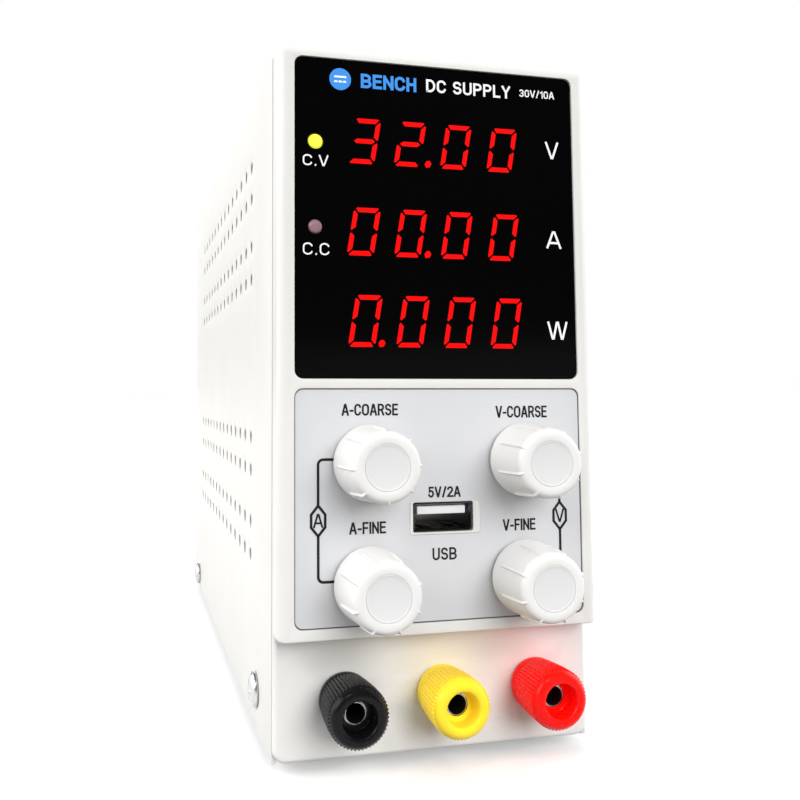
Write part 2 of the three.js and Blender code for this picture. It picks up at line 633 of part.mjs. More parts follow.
const bounds = new THREE.Box3().setFromObject(assembly);
const centre = bounds.getCenter(new THREE.Vector3());
assembly.position.set(-centre.x, -centre.y, -bounds.min.z);

const group = new THREE.Group();
group.add(assembly);

export default group;
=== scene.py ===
"""Looks of the bench power supply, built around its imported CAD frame.

Blender works in metres with +Z up and the front towards -Y. The shapes below are given in
millimetres from the front face of the bezel (y = 0) and the underside of the case (z = 0).
"""

import math

import bmesh
import bpy
from mathutils import Euler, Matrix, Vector


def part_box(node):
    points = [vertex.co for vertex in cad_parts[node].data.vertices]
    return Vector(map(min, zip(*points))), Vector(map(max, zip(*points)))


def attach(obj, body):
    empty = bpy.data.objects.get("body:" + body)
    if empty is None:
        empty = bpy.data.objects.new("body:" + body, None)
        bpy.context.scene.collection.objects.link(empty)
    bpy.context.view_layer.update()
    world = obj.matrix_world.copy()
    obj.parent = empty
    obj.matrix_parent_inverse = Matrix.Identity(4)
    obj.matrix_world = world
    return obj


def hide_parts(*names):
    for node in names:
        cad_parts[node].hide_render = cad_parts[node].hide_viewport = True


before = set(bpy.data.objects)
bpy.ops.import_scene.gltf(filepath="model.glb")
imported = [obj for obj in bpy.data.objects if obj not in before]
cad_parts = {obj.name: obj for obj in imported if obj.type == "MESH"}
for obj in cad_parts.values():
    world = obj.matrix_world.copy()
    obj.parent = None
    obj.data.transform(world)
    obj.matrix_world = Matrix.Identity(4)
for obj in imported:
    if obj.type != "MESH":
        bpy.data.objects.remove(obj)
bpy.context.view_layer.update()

MM = 0.001
FRONT_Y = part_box("front_bezel")[0].y
CASE_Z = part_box("top_cover")[0].z


def at(x, y, z):
    """A point in millimetres, in the row frame."""
    return Vector((x * MM, FRONT_Y + y * MM, CASE_Z + z * MM))


# ---- camera

# The place, turn and lens follow from the corners of the front and of the left side.
camera_data = bpy.data.cameras.new("camera")
camera = bpy.data.objects.new("camera", camera_data)
bpy.context.scene.collection.objects.link(camera)
camera.location = at(-69.51, -175.34, 79.82)
camera.rotation_euler = Euler([math.radians(a) for a in (94.0922, 0.0839, -12.674)])
camera_data.sensor_width = 36
camera_data.lens = 37.34
camera_data.shift_x = 0.1111
camera_data.shift_y = -0.0821
camera_data.clip_start = 0.01
bpy.context.scene.camera = camera

# ---- driving dimensions

HALF_WIDTH = 37.5
HEIGHT = 158
DEPTH = 200
SHEET = 1.2
BEZEL_HALF = 37.3
BEZEL_SIDE = 7
BEZEL_BACK = 13
LEDGE_Z = 27
BAND_Y = 5.8
WINDOW = {"x": 33.65, "bottom": 83.15, "top": 154.7, "front": 0.4, "back": 2.4, "corner": 1.8}
OVERLAY = {"x": 33.58, "bottom": 30.05, "top": 80.75, "front": 0.35, "back": 0.8, "corner": 1.8}
USB_Z = 52.55
INDICATORS = {"cv_indicator": (-28.9, 135.7, "led_lit"), "cc_indicator": (-29, 116.5, "led_unlit")}
SHAFT_HOLE = 4.8
# Each knob's place and the angle of its first groove.
KNOBS = {
    "amps_coarse": (-17.1, 64.8, 2.5),
    "amps_fine": (-17.1, 38.7, 20),
    "volts_coarse": (19.3, 64.9, 16.5),
    "volts_fine": (19.3, 38.8, 21),
}
TERMINAL_Z = 13.2
TERMINALS = {"negative_terminal": -21.4, "ground_terminal": 1.2, "positive_terminal": 23.9}
TERMINAL_COLORS = ("black", "yellow", "red")
VENT_RADIUS = 1.65
VENT_FIRST_Y = 38
VENT_PITCH = 10
VENT_COLUMNS = 14
VENT_ROW_PAIRS = [(39, 47.3), (60.3, 68.7), (109.4, 117.9), (130.6, 139)]
VENT_MARGIN = 4.1
VENT_EDGE_Y = VENT_FIRST_Y - VENT_PITCH / 2
COVER_BEND = 2
COVER_YS = [VENT_EDGE_Y + VENT_PITCH / 4 * i for i in range(4 * VENT_COLUMNS + 1)]
COVER_YS = [BEZEL_SIDE + 0.1, *COVER_YS, DEPTH]
INNER_HALF = HALF_WIDTH - SHEET - 0.3
FLANGE_HEIGHT = 16
SCREWS = {"front": (27.8, 9), "rear": (180, 5)}
REAR_FACE = DEPTH - 1
FLANGE_BACK = REAR_FACE + 0.1
FAN_Z = 120
FAN_SCREW = 25
INLET_Z = 34.5
DRAWER_Z = INLET_Z - 8.6
SWITCH_X = -17
SELECTOR_X = 17
SWITCH_Z = 71

# ---- mesh tools


def make_object(name, shape):
    """An object from (vertices in millimetres, faces)."""
    verts, faces = shape
    mesh = bpy.data.meshes.new(name)
    mesh.from_pydata([at(*v) for v in verts], [], faces)
    work = bmesh.new()
    work.from_mesh(mesh)
    bmesh.ops.remove_doubles(work, verts=work.verts, dist=2e-7)
    bmesh.ops.recalc_face_normals(work, faces=work.faces)
    work.to_mesh(mesh)
    work.free()
    obj = bpy.data.objects.new(name, mesh)
    bpy.context.scene.collection.objects.link(obj)
    return obj


def settle(obj):
    """Replaces the mesh by what its modifiers make of it."""
    graph = bpy.context.evaluated_depsgraph_get()
    mesh = bpy.data.meshes.new_from_object(obj.evaluated_get(graph))
    old = obj.data
    name = old.name
    obj.modifiers.clear()
    obj.data = mesh
    bpy.data.meshes.remove(old)
    mesh.name = name


def boolean(obj, shape, operation, self_overlap=False):
    tool = make_object("tool", shape)
    modifier = obj.modifiers.new("boolean", "BOOLEAN")
    modifier.operation = operation
    modifier.solver = "EXACT"
    modifier.use_self = self_overlap
    modifier.object = tool
    settle(obj)
    mesh = tool.data
    bpy.data.objects.remove(tool)
    bpy.data.meshes.remove(mesh)


def cut(obj, shape, self_overlap=False):
    boolean(obj, shape, "DIFFERENCE", self_overlap)


def join(obj, shape):
    boolean(obj, shape, "UNION")


def bevel(obj, width, segments=2, angle=32):
    modifier = obj.modifiers.new("bevel", "BEVEL")
    modifier.width = width * MM
    modifier.segments = segments
    modifier.limit_method = "ANGLE"
    modifier.angle_limit = math.radians(angle)
    modifier.use_clamp_overlap = True
    settle(obj)


def together(*shapes):
    """Several closed shapes as one."""
    verts = []
    faces = []
    for shape_verts, shape_faces in shapes:
        start = len(verts)
        verts += [tuple(v) for v in shape_verts]
        faces += [[start + i for i in face] for face in shape_faces]
    return verts, faces


def loft(loops, ring=False):
    """Skin through loops of equal length. It is capped, unless the last loop joins the first."""
    count = len(loops[0])
    verts = [tuple(p) for loop in loops for p in loop]
    faces = []
    spans = len(loops) if ring else len(loops) - 1
    for i in range(spans):
        a = i * count
        b = (i + 1) % len(loops) * count
        for j in range(count):
            k = (j + 1) % count
            faces.append([a + j, a + k, b + k, b + j])
    if not ring:
        faces.append(list(range(count)))
        faces.append([len(verts) - count + j for j in range(count)])
    return verts, faces


def span(middle, half):
    return (middle - half, middle + half)


def along_y(a, b, c):
    return (a, c, b)


def along_x(a, b, c):
    return (c, a, b)


def along_z(a, b, c):
    return (a, b, c)


def rounded_outline(a0, a1, b0, b1, radius, steps=5):
    """Corners of a rounded rectangle, as (a, b) pairs."""
    points = []
    corners = [(a1, b0, -90), (a1, b1, 0), (a0, b1, 90), (a0, b0, 180)]
    for a, b, start in corners:
        centre_a = a - math.copysign(radius, a - (a0 + a1) / 2)
        centre_b = b - math.copysign(radius, b - (b0 + b1) / 2)
        for step in range(steps + 1):
            angle = math.radians(start + 90 * step / steps)
            a_part = radius * math.cos(angle)
            points.append((centre_a + a_part, centre_b + radius * math.sin(angle)))
    return points


def fillet(edge, steps):
    """(inset, depth) pairs of a quarter round, or of the plain corner that an edge of 0 is."""
    if not edge:
        return [(0, 0)]
    turns = [math.pi / 2 * step / steps for step in range(steps + 1)]
    return [(edge * (1 - math.sin(t)), edge * (1 - math.cos(t))) for t in turns]


def rounded_slab(a, b, c, corner, low_edge=0.0, high_edge=0.0, way=along_y, steps=5):
    """A rounded rectangle run from c[0] to c[1], with its edges rounded at either end."""
    sections = [(inset, c[0] + depth) for inset, depth in fillet(low_edge, steps)]
    sections += [(inset, c[1] - depth) for inset, depth in reversed(fillet(high_edge, steps))]
    loops = []
    for inset, height in sections:
        radius = max(corner - inset, 0.02)
        sides = (a[0] + inset, a[1] - inset, b[0] + inset, b[1] - inset)
        loops.append([way(p, q, height) for p, q in rounded_outline(*sides, radius, steps)])
    return loft(loops)


def block(x, y, z):
    """A box from (low, high) pairs."""
    corners = [(x[0], z[0]), (x[1], z[0]), (x[1], z[1]), (x[0], z[1])]
    return loft([[(p, y[0], q) for p, q in corners], [(p, y[1], q) for p, q in corners]])


def prism(outline, c, way=along_y):
    """An outline of (a, b) pairs run from c[0] to c[1]."""
    return loft([[way(a, b, height) for a, b in outline] for height in c])


def even_angles(sides):
    return [2 * math.pi * i / sides for i in range(sides)]


def turned(a, b, profile, sides, way=along_y):
    """A profile of (radius, height) pairs turned about the line through (a, b)."""
    loops = []
    for radius, height in profile:
        circle = [(a + radius * math.cos(t), b + radius * math.sin(t)) for t in even_angles(sides)]
        loops.append([way(p, q, height) for p, q in circle])
    return loft(loops)


def rod(a, b, radius, c, sides=32):
    return turned(a, b, [(radius, c[0]), (radius, c[1])], sides)


def carved_turn(x, z, profile, angles, depth_at, ring=False):
    """A shape turned along Y, its surface pushed in along its normal by depth_at(index, angle)."""
    loops = []
    last = len(profile) - 1
    for i, (radius, y) in enumerate(profile):
        before = profile[max(i - 1, 0)]
        after = profile[min(i + 1, last)]
        run = (after[0] - before[0], after[1] - before[1])
        length = math.hypot(*run) or 1
        normal = (-run[1] / length, run[0] / length)
        loop = []
        for angle in angles:
            push = depth_at(i, angle)
            r = radius - normal[0] * push
            loop.append((x + r * math.cos(angle), y - normal[1] * push, z + r * math.sin(angle)))
        loops.append(loop)
    return loft(loops, ring)


def wire(points, radius, sides=12, closed=False):
    """A round bar through points in millimetres."""
    points = [Vector(p) for p in points]
    loops = []
    count = len(points)
    for i, point in enumerate(points):
        if closed:
            run = points[(i + 1) % count] - points[i - 1]
        else:
            run = points[min(i + 1, count - 1)] - points[max(i - 1, 0)]
        run.normalize()
        side = run.cross(Vector((0, 1, 0)))
        if side.length < 0.1:
            side = run.cross(Vector((1, 0, 0)))
        side.normalize()
        up = run.cross(side)
        rays = [math.cos(t) * side + math.sin(t) * up for t in even_angles(sides)]
        loops.append([point + radius * ray for ray in rays])
    return loft(loops, closed)


def place(obj, body, surface, node=None, angle=35, slot=None):
    """Gives the object its surface, hangs it on its body and hides the CAD node it stands for."""
    obj.data.shade_smooth()
    obj.data.set_sharp_from_angle(angle=math.radians(angle))
    if not obj.data.materials:
        obj.data.materials.append(SURFACES[surface])
    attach(obj, body)
    if node:
        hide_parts(node)


def piece(name, shape, *placing, **more):
    """An object that needs no cuts, made and placed at once."""
    place(make_object(name, shape), *placing, **more)


def paint_faces(obj, first, second, chosen):
    """Gives the first surface to all faces but those whose centre chosen(x, y, z) picks."""
    for surface in (first, second):
        obj.data.materials.append(SURFACES[surface])
    for face in obj.data.polygons:
        x, y, z = face.center
        face.material_index = int(chosen(x / MM, (y - FRONT_Y) / MM, (z - CASE_Z) / MM))


# ---- materials


# The finishes by name. The frame brings materials of the same names, so Blender's list won't do.
SURFACES = {}


def fill(node, inputs):
    """Sets a node's inputs: an output is linked, anything else is a value."""
    for name, value in inputs.items():
        if isinstance(value, bpy.types.NodeSocket):
            node.id_data.links.new(value, node.inputs[name])
        else:
            node.inputs[name].default_value = value


def add_node(tree, kind, inputs, **settings):
    node = tree.nodes.new(kind)
    for name, value in settings.items():
        setattr(node, name, value)
    fill(node, inputs)
    return node.outputs


def scaled(color, amount):
    """The colour made lighter or darker, with its alpha."""
    return (*(min(1.0, channel * amount) for channel in color), 1)


def finish(
    name, color, roughness, metallic=0.0, variation=0.03, grain=2.5, relief=0.015,
    strength=0.4, specular=0.5, stretch=(1, 1, 1), glow=None,
):
    """A surface with slow colour variation, uneven roughness, fine relief and sparse wear."""
    material = bpy.data.materials.new(name)
    material.use_nodes = True
    tree = material.node_tree
    space = add_node(tree, "ShaderNodeTexCoord", {})["Object"]
    space = add_node(tree, "ShaderNodeMapping", {"Vector": space, "Scale": (1 / MM,) * 3})["Vector"]
    grained = add_node(tree, "ShaderNodeMapping", {"Vector": space, "Scale": stretch})["Vector"]

    def noise(source, scale, detail, rough):
        inputs = {"Vector": source, "Scale": scale, "Detail": detail, "Roughness": rough}
        return add_node(tree, "ShaderNodeTexNoise", inputs)["Fac"]

    def remap(value, low, high, to_low, to_high):
        inputs = {"Value": value, "From Min": low, "From Max": high, "To Min": to_low, "To Max": to_high}
        return add_node(tree, "ShaderNodeMapRange", inputs)["Result"]

    def mix(amount, first, second):
        return add_node(tree, "ShaderNodeMix", {0: amount, 6: first, 7: second}, data_type="RGBA")[2]

    slow = remap(noise(space, 0.06, 2, 0.55), 0.3, 0.7, 0, 1)
    tone = mix(slow, scaled(color, 1 - variation), scaled(color, 1 + variation))
    worn = remap(noise(space, 0.45, 6, 0.7), 0.62, 0.78, 0, 0.6)
    uneven = noise(grained, 0.8, 4, 0.6)
    fine = noise(grained, grain, 3, 0.6)
    bump = {"Strength": strength, "Distance": relief * MM, "Height": fine}
    shader = tree.nodes["Principled BSDF"]
    fill(shader, {
        "Base Color": mix(worn, tone, scaled(color, 1 - 2 * variation)),
        "Metallic": metallic,
        "Specular IOR Level": specular,
        "Roughness": remap(uneven, 0.25, 0.75, roughness * 0.85, roughness * 1.15),
        "Normal": add_node(tree, "ShaderNodeBump", bump)["Normal"],
    })
    if glow:
        fill(shader, {"Emission Color": (*glow[0], 1), "Emission Strength": glow[1]})
    SURFACES[name] = material


finish("cover_paint", (0.79, 0.775, 0.74), 0.45, grain=1.6, relief=0.03, strength=0.5, variation=0.015)
finish("bare_zinc", (0.11, 0.11, 0.10), 0.5, metallic=0.6, variation=0.12, grain=0.4, relief=0.01)
finish("bezel_plastic", (0.79, 0.78, 0.755), 0.4, grain=4, relief=0.008, variation=0.015)
# Painted light: the bezel's own plastic in a lighter copy, for the band below the ledge, which the lamps
# leave too dim.
finish("band_plastic_painted_lighter", (0.86, 0.85, 0.825), 0.4, grain=4, relief=0.008, variation=0.015)
finish("knob_plastic", (0.845, 0.835, 0.815), 0.38, grain=5, relief=0.006, variation=0.012)
finish("knob_cap_plastic", (0.77, 0.765, 0.765), 0.42, grain=6, relief=0.006, variation=0.012)
finish("window_acrylic", (0.001, 0.001, 0.0012), 0.14, grain=0.15, relief=0.01, strength=0.1, specular=0.04)
finish("overlay_print", (0.66, 0.665, 0.68), 0.42, grain=7, relief=0.006, variation=0.02, specular=0.35)
# Painted shadow: a dark sheet laid in the gap round the overlay, where there is only shade.
finish("overlay_gap_painted_shadow", (0.10, 0.09, 0.10), 0.6)
finish("dark_ink", (0.006, 0.006, 0.007), 0.5, grain=9, relief=0.004, specular=0.3)
# The white and blue inks are given a faint glow: painted light that makes the print brighter than the lamps
# make it.
finish("white_ink_painted_glow", (0.85, 0.86, 0.87), 0.5, grain=9, relief=0.004, glow=((1, 1, 1), 0.12))
finish("blue_ink_painted_glow", (0.05, 0.27, 0.72), 0.5, grain=9, relief=0.004, glow=((0.02, 0.2, 0.7), 0.2))
finish("lit_red", (0.35, 0.0, 0.0), 0.4, specular=0.1, glow=((1.0, 0.004, 0.004), 0.9))
finish("led_lit", (0.55, 0.6, 0.05), 0.25, specular=0.3, glow=((1.0, 1.0, 0.05), 0.75))
finish("led_unlit", (0.34, 0.19, 0.22), 0.22, grain=1.8, relief=0.04, variation=0.25)
finish("display_face", (0.02, 0.02, 0.022), 0.5)
finish("board", (0.02, 0.12, 0.05), 0.45, variation=0.1, grain=0.8, relief=0.02)
finish("plated_steel", (0.56, 0.56, 0.56), 0.27, metallic=1.0, variation=0.06, relief=0.01)
finish("dark_steel", (0.2, 0.2, 0.202), 0.32, metallic=1.0, variation=0.1)
finish("usb_steel", (0.05, 0.05, 0.052), 0.25, metallic=1.0, variation=0.08, stretch=(1, 0.1, 1))
finish("usb_tongue_plastic", (0.86, 0.86, 0.86), 0.4)
finish("gold_contact", (0.85, 0.62, 0.22), 0.25, metallic=1.0)
finish("terminal_black", (0.005, 0.005, 0.006), 0.26, grain=5, relief=0.006, specular=0.15)
# The yellow cap is given a faint glow: painted light that brightens it past what the lamps give.
finish(
    "terminal_yellow", (1.0, 0.74, 0.03), 0.3, grain=5, relief=0.006, variation=0.02, specular=0.25,
    glow=((1, 0.7, 0.05), 0.1),
)
# The red cap is given a faint glow: painted light that brightens it past what the lamps give.
finish(
    "terminal_red", (1.0, 0.006, 0.003), 0.28, grain=5, relief=0.006, variation=0.02, specular=0.2,
    glow=((1, 0, 0), 0.1),
)
finish("insert_brass", (0.60, 0.42, 0.14), 0.3, metallic=1.0)
finish("post_nickel", (0.5, 0.49, 0.48), 0.25, metallic=1.0)
# Painted shade: the inside of each stud's bore is coloured near black, for the shade deep in its mouth.
finish("bore_painted_shade", (0.01, 0.01, 0.01), 0.55, metallic=0.3)
finish("foot_rubber", (0.015, 0.015, 0.016), 0.75, grain=1.5, relief=0.03)
finish("heatsink_aluminium", (0.6, 0.61, 0.62), 0.35, metallic=1.0, stretch=(6, 0.1, 6), variation=0.06)
finish("ferrite", (0.03, 0.03, 0.032), 0.6, grain=0.9, relief=0.05)
finish("capacitor_sleeve", (0.012, 0.025, 0.07), 0.3, variation=0.1)
finish("black_plastic", (0.013, 0.013, 0.014), 0.42, grain=3, relief=0.012)
finish("fan_plastic", (0.02, 0.02, 0.021), 0.38, grain=2, relief=0.012)
finish("guard_wire", (0.68, 0.68, 0.69), 0.2, metallic=1.0, variation=0.05)
finish("selector_red", (0.45, 0.012, 0.01), 0.35, grain=3, relief=0.01)
finish("slider_white", (0.75, 0.73, 0.68), 0.4, grain=3, relief=0.01)
finish(
    "floor_paper", (0.93, 0.93, 0.93), 0.8, variation=0.004, grain=0.5, relief=0.01, specular=0.1,
    glow=((1, 1, 1), 0.2),
)

# ---- case


def vent_faces(columns, rows, z):
    """Faces between a square of 5 by 5 grid points and the round vent inside it."""
    square = [(i, 0) for i in range(4)] + [(4, i) for i in range(4)]
    square += [(4 - i, 4) for i in range(4)] + [(0, 4 - i) for i in range(4)]
    outer = [(columns[i], rows[j]) for i, j in square]
    circle = []
    for i in range(16):
        angle = math.radians(-135 + 22.5 * i)
        circle.append((columns[2] + VENT_RADIUS * math.cos(angle), z + VENT_RADIUS * math.sin(angle)))
    quads = []
    for i in range(16):
        k = (i + 1) % 16
        quads.append([outer[i], outer[k], circle[k], circle[i]])
    return quads


def loose_faces(quads):
    """A shape from four-sided faces that each bring their own corners."""
    verts = [point for quad in quads for point in quad]
    return verts, [list(range(4 * i, 4 * i + 4)) for i in range(len(quads))]


def cover_side(x):
    """One side wall as a skin with its vents open, up to where the bend starts."""
    zs = [0.0]
    vents = []
    for low, high in VENT_ROW_PAIRS:
        stops = [low - VENT_MARGIN, low, (low + high) / 2, high, high + VENT_MARGIN]
        vents += [(len(zs), low), (len(zs) + 4, high)]
        for a, b in zip(stops, stops[1:]):
            zs += [a, (a + b) / 2]
        zs.append(stops[-1])
    zs.append(HEIGHT - COVER_BEND)
    open_rows = {start + k for start, _ in vents for k in range(4)}
    quads = []
    for j in range(len(zs) - 1):
        for i in range(len(COVER_YS) - 1):
            if j in open_rows and 1 <= i <= 4 * VENT_COLUMNS:
                continue
            y0, y1 = COVER_YS[i:i + 2]
            quads.append([(y0, zs[j]), (y1, zs[j]), (y1, zs[j + 1]), (y0, zs[j + 1])])
    for start, z in vents:
        for first in range(1, 4 * VENT_COLUMNS, 4):
            quads += vent_faces(COVER_YS[first:first + 5], zs[start:start + 5], z)
    return loose_faces([[(x, y, z) for y, z in quad] for quad in quads])


def top_cover():
    """The bent sheet of both sides and the top: a skin that is given its thickness inwards."""
    path = []
    for step in range(7):
        angle = math.radians(180 - 15 * step)
        x = -HALF_WIDTH + COVER_BEND + COVER_BEND * math.cos(angle)
        path.append((x, HEIGHT - COVER_BEND + COVER_BEND * math.sin(angle)))
    path += [(x, HEIGHT) for x in (-20, 0, 20)]
    path += [(-x, z) for x, z in reversed(path[:7])]
    roof = []
    for (x0, z0), (x1, z1) in zip(path, path[1:]):
        for y0, y1 in zip(COVER_YS, COVER_YS[1:]):
            roof.append([(x0, y0, z0), (x0, y1, z0), (x1, y1, z1), (x1, y0, z1)])
    sides = together(cover_side(-HALF_WIDTH), cover_side(HALF_WIDTH))
    obj = make_object("cover", together(sides, loose_faces(roof)))
    left_face = min(obj.data.polygons, key=lambda polygon: polygon.center.x)
    modifier = obj.modifiers.new("sheet", "SOLIDIFY")
    modifier.thickness = SHEET * MM
    modifier.offset = -1 if left_face.normal.x < 0 else 1
    modifier.use_even_offset = True
    settle(obj)
    bevel(obj, 0.14, 2, 50)
    inner_x = HALF_WIDTH - SHEET + 0.02
    inner_z = HEIGHT - SHEET + 0.02
    paint_faces(obj, "cover_paint", "bare_zinc", lambda x, y, z: abs(x) < inner_x and z < inner_z)
    place(obj, "case", "cover_paint", "top_cover")


def chassis():
    """The folded tray under the cover, with three rows of air slots."""
    outside = INNER_HALF
    inside = outside - SHEET
    outline = [
        (-outside, 0), (outside, 0), (outside, FLANGE_HEIGHT), (inside, FLANGE_HEIGHT),
        (inside, SHEET), (-inside, SHEET), (-inside, FLANGE_HEIGHT), (-outside, FLANGE_HEIGHT),
    ]
    obj = make_object("chassis", prism(outline, (BEZEL_BACK + 0.3, REAR_FACE - SHEET - 0.3)))
    slots = []
    for x in (-15, 0, 15):
        for y in range(60, 141, 9):
            slots.append(rounded_slab(span(x, 5), span(y, 1.5), (-1, SHEET + 1), 1.45, way=along_z))
    cut(obj, together(*slots))
    bevel(obj, 0.25)
    place(obj, "case", "cover_paint", "base_chassis")


def rear_panel():
    """The flat back, with openings for the fan, the inlet and the two switches."""
    y = (REAR_FACE - SHEET, REAR_FACE)
    past = (y[0] - 1, y[1] + 1)
    outline = ((-INNER_HALF, INNER_HALF), (0.3, HEIGHT - SHEET - 0.3))
    obj = make_object("rear_panel", rounded_slab(*outline, y, 0.6))
    cuts = [
        rod(0, FAN_Z, 28, past, 96),
        block((-14.1, 14.1), past, span(INLET_Z, 13.8)),
        block(span(SWITCH_X, 9.7), past, span(SWITCH_Z, 6.7)),
        block(span(SELECTOR_X, 11.3), past, span(SWITCH_Z, 5.8)),
    ]
    cut(obj, together(*cuts))
    bevel(obj, 0.2)
    place(obj, "case", "cover_paint", "rear_panel")


def bezel_block():
    """The upper front: rounded generously at the sides and top, less along the ledge."""
    loops = []
    for inset, y in [*fillet(2.4, 8), (0, BEZEL_SIDE)]:
        sides = (-BEZEL_HALF + inset, BEZEL_HALF - inset)
        upper = rounded_outline(*sides, 60, HEIGHT - 0.4 - inset, 1.5 - 0.5 * inset, 8)
        lower = rounded_outline(*sides, LEDGE_Z + 0.25 * inset, 60, 1.1 - 0.35 * inset, 8)
        corner = len(upper) // 4
        outline = lower[3 * corner:] + lower[:corner] + upper[corner:3 * corner]
        loops.append([(x, y, z) for x, z in outline])
    return loft(loops)


def front_bezel():
    """The bezel block, the stepped-back band below it and the hollow plug behind them."""
    across = (-BEZEL_HALF, BEZEL_HALF)
    inside = (1.6 - INNER_HALF, INNER_HALF - 1.6)
    past = (-1, 5)
    obj = make_object("bezel", bezel_block())
    join(obj, rounded_slab(across, (0.2, LEDGE_Z + 12), (BAND_Y, BEZEL_SIDE), 3, low_edge=1.1, steps=8))
    join(obj, rounded_slab(across, (LEDGE_Z - 4, LEDGE_Z + 8), (BAND_Y + 1.1, BEZEL_SIDE), 0.1))
    plug_z = (SHEET + 0.3, HEIGHT - SHEET - 0.3)
    join(obj, block((-INNER_HALF, INNER_HALF), (BEZEL_SIDE - 1, BEZEL_BACK), plug_z))
    cut(obj, block(inside, (3, BEZEL_BACK + 1), (LEDGE_Z + 2, HEIGHT - SHEET - 2)))
    cut(obj, block(inside, (BAND_Y + 2, BEZEL_BACK + 1), (3.5, LEDGE_Z + 2.1)))
    overlay_recess = rounded_slab((-33.8, 33.8), (29.8, 81), (-1, 0.9), 1.9)
    cut(obj, overlay_recess)
    usb_surround = rounded_slab((-7.75, 8.8), (USB_Z - 3.8, USB_Z + 3.4), (0.2, 1.8), 0.7, low_edge=0.22)
    join(obj, usb_surround)
    window_opening = rounded_slab((-33.75, 33.75), (83.05, 154.8), past, 1.9)
    cut(obj, window_opening)
    holes = [rounded_slab((-7.1, 7.1), span(USB_Z, 3.3), past, 0.5)]
    holes += [rod(x, z, SHAFT_HOLE, past) for x, z, _ in KNOBS.values()]
    holes += [rod(x, TERMINAL_Z, 3.2, (BAND_Y - 1, BAND_Y + 3)) for x in TERMINALS.values()]
    cut(obj, together(*holes))
    bevel(obj, 0.22, 2, 40)
    # The band below the ledge gets the lighter copy of the bezel plastic: painted light.
    paint_faces(obj, "bezel_plastic", "band_plastic_painted_lighter", lambda x, y, z: z < LEDGE_Z - 0.1)
    place(obj, "case", "bezel_plastic", "front_bezel")


def feet():
    """Four rubber feet, each with the screw that holds it."""
    foot_profile = [
        (0, -1.4), (2.2, -1.4), (2.4, -1.6), (2.4, -2.8), (2.8, -3), (4.9, -3),
        (5.3, -2.85), (5.5, -2.5), (6.4, -0.5), (6.5, -0.1), (0, -0.1),
    ]
    screw_profile = [(0, -2.1), (1.4, -2.1), (1.9, -1.9), (2.1, -1.45), (2.1, -1.3), (0, -1.3)]
    for end, y in (("front", 22), ("rear", 180)):
        for side, x in (("left", -26), ("right", 26)):
            piece(
                f"rubber_foot_{end}_{side}", turned(x, y, foot_profile, 48, along_z),
                "case", "foot_rubber", f"foot_{end}_{side}"
            )
            piece(
                f"foot_screw_{end}_{side}", turned(x, y, screw_profile, 32, along_z),
                "case", "plated_steel"
            )


def cross_recess(centre, way, top, depth, reach, half=0.55):
    """A Phillips recess: two tapered bars crossed."""
    a, b = centre
    floor_height = top - math.copysign(depth, top)
    bars = []
    for long, short in ((reach, half), (half, reach)):
        loops = []
        for half_a, half_b, height in ((long, short, top), (long * 0.45, short * 0.8, floor_height)):
            corners = [(-half_a, -half_b), (half_a, -half_b), (half_a, half_b), (-half_a, half_b)]
            loops.append([way(a + p, b + q, height) for p, q in corners])
        bars.append(loft(loops))
    return together(*bars)


def cover_screws():
    """Truss-head Phillips screws, each with a washer face."""
    seat = HALF_WIDTH + 0.1
    profile = []
    for step in range(9):
        angle = math.radians(90 * step / 8)
        profile.append((4.15 * math.sin(angle), seat + 0.45 + 1.45 * math.cos(angle)))
    profile += [(4.2, seat + 0.3), (4.1, seat), (1.7, seat), (1.7, seat - 6), (0, seat - 6)]
    for end, (y, z) in SCREWS.items():
        for side, sign in (("left", -1), ("right", 1)):
            outline = [(radius, sign * height) for radius, height in profile]
            obj = make_object(f"screw_{end}_{side}", turned(y, z, outline, 48, along_x))
            cut(obj, cross_recess((y, z), along_x, sign * (seat + 2.1), 1.6, 2.6, 0.8), self_overlap=True)
            bevel(obj, 0.08, 1, 50)
            place(obj, "case", "plated_steel", f"cover_screw_{end}_{side}")


# ---- display


def pane_piece(name, size, surface, node, holes, edge):
    """A flat pane with a rounded front edge, let into the bezel."""
    across = (-size["x"], size["x"])
    upright = (size["bottom"], size["top"])
    through = (size["front"], size["back"])
    obj = make_object(name, rounded_slab(across, upright, through, size["corner"], low_edge=edge, steps=6))
    cut(obj, together(*holes))
    place(obj, "case", surface, node)


def display():
    led_holes = [rod(x, z, 1.75, (-1, 4)) for x, z, _ in INDICATORS.values()]
    pane_piece("window", WINDOW, "window_acrylic", "display_window", led_holes, 0.2)
    profile = [
        (0, -0.35), (0.6, -0.29), (1.1, -0.12), (1.45, 0.18), (1.6, 0.6),
        (1.6, 2.7), (2, 2.7), (2, 8), (0, 8),
    ]
    for name, (x, z, surface) in INDICATORS.items():
        piece(f"{name}_lens", turned(x, z, profile, 48), "case", surface, name)


SEGMENTS = {"0": "abcdef", "2": "abged", "3": "abgcd"}
DIGIT_WIDTH = 6.2
DIGIT_STROKE = 1.03
SLANT = 0.17
NOTCH = 0.7


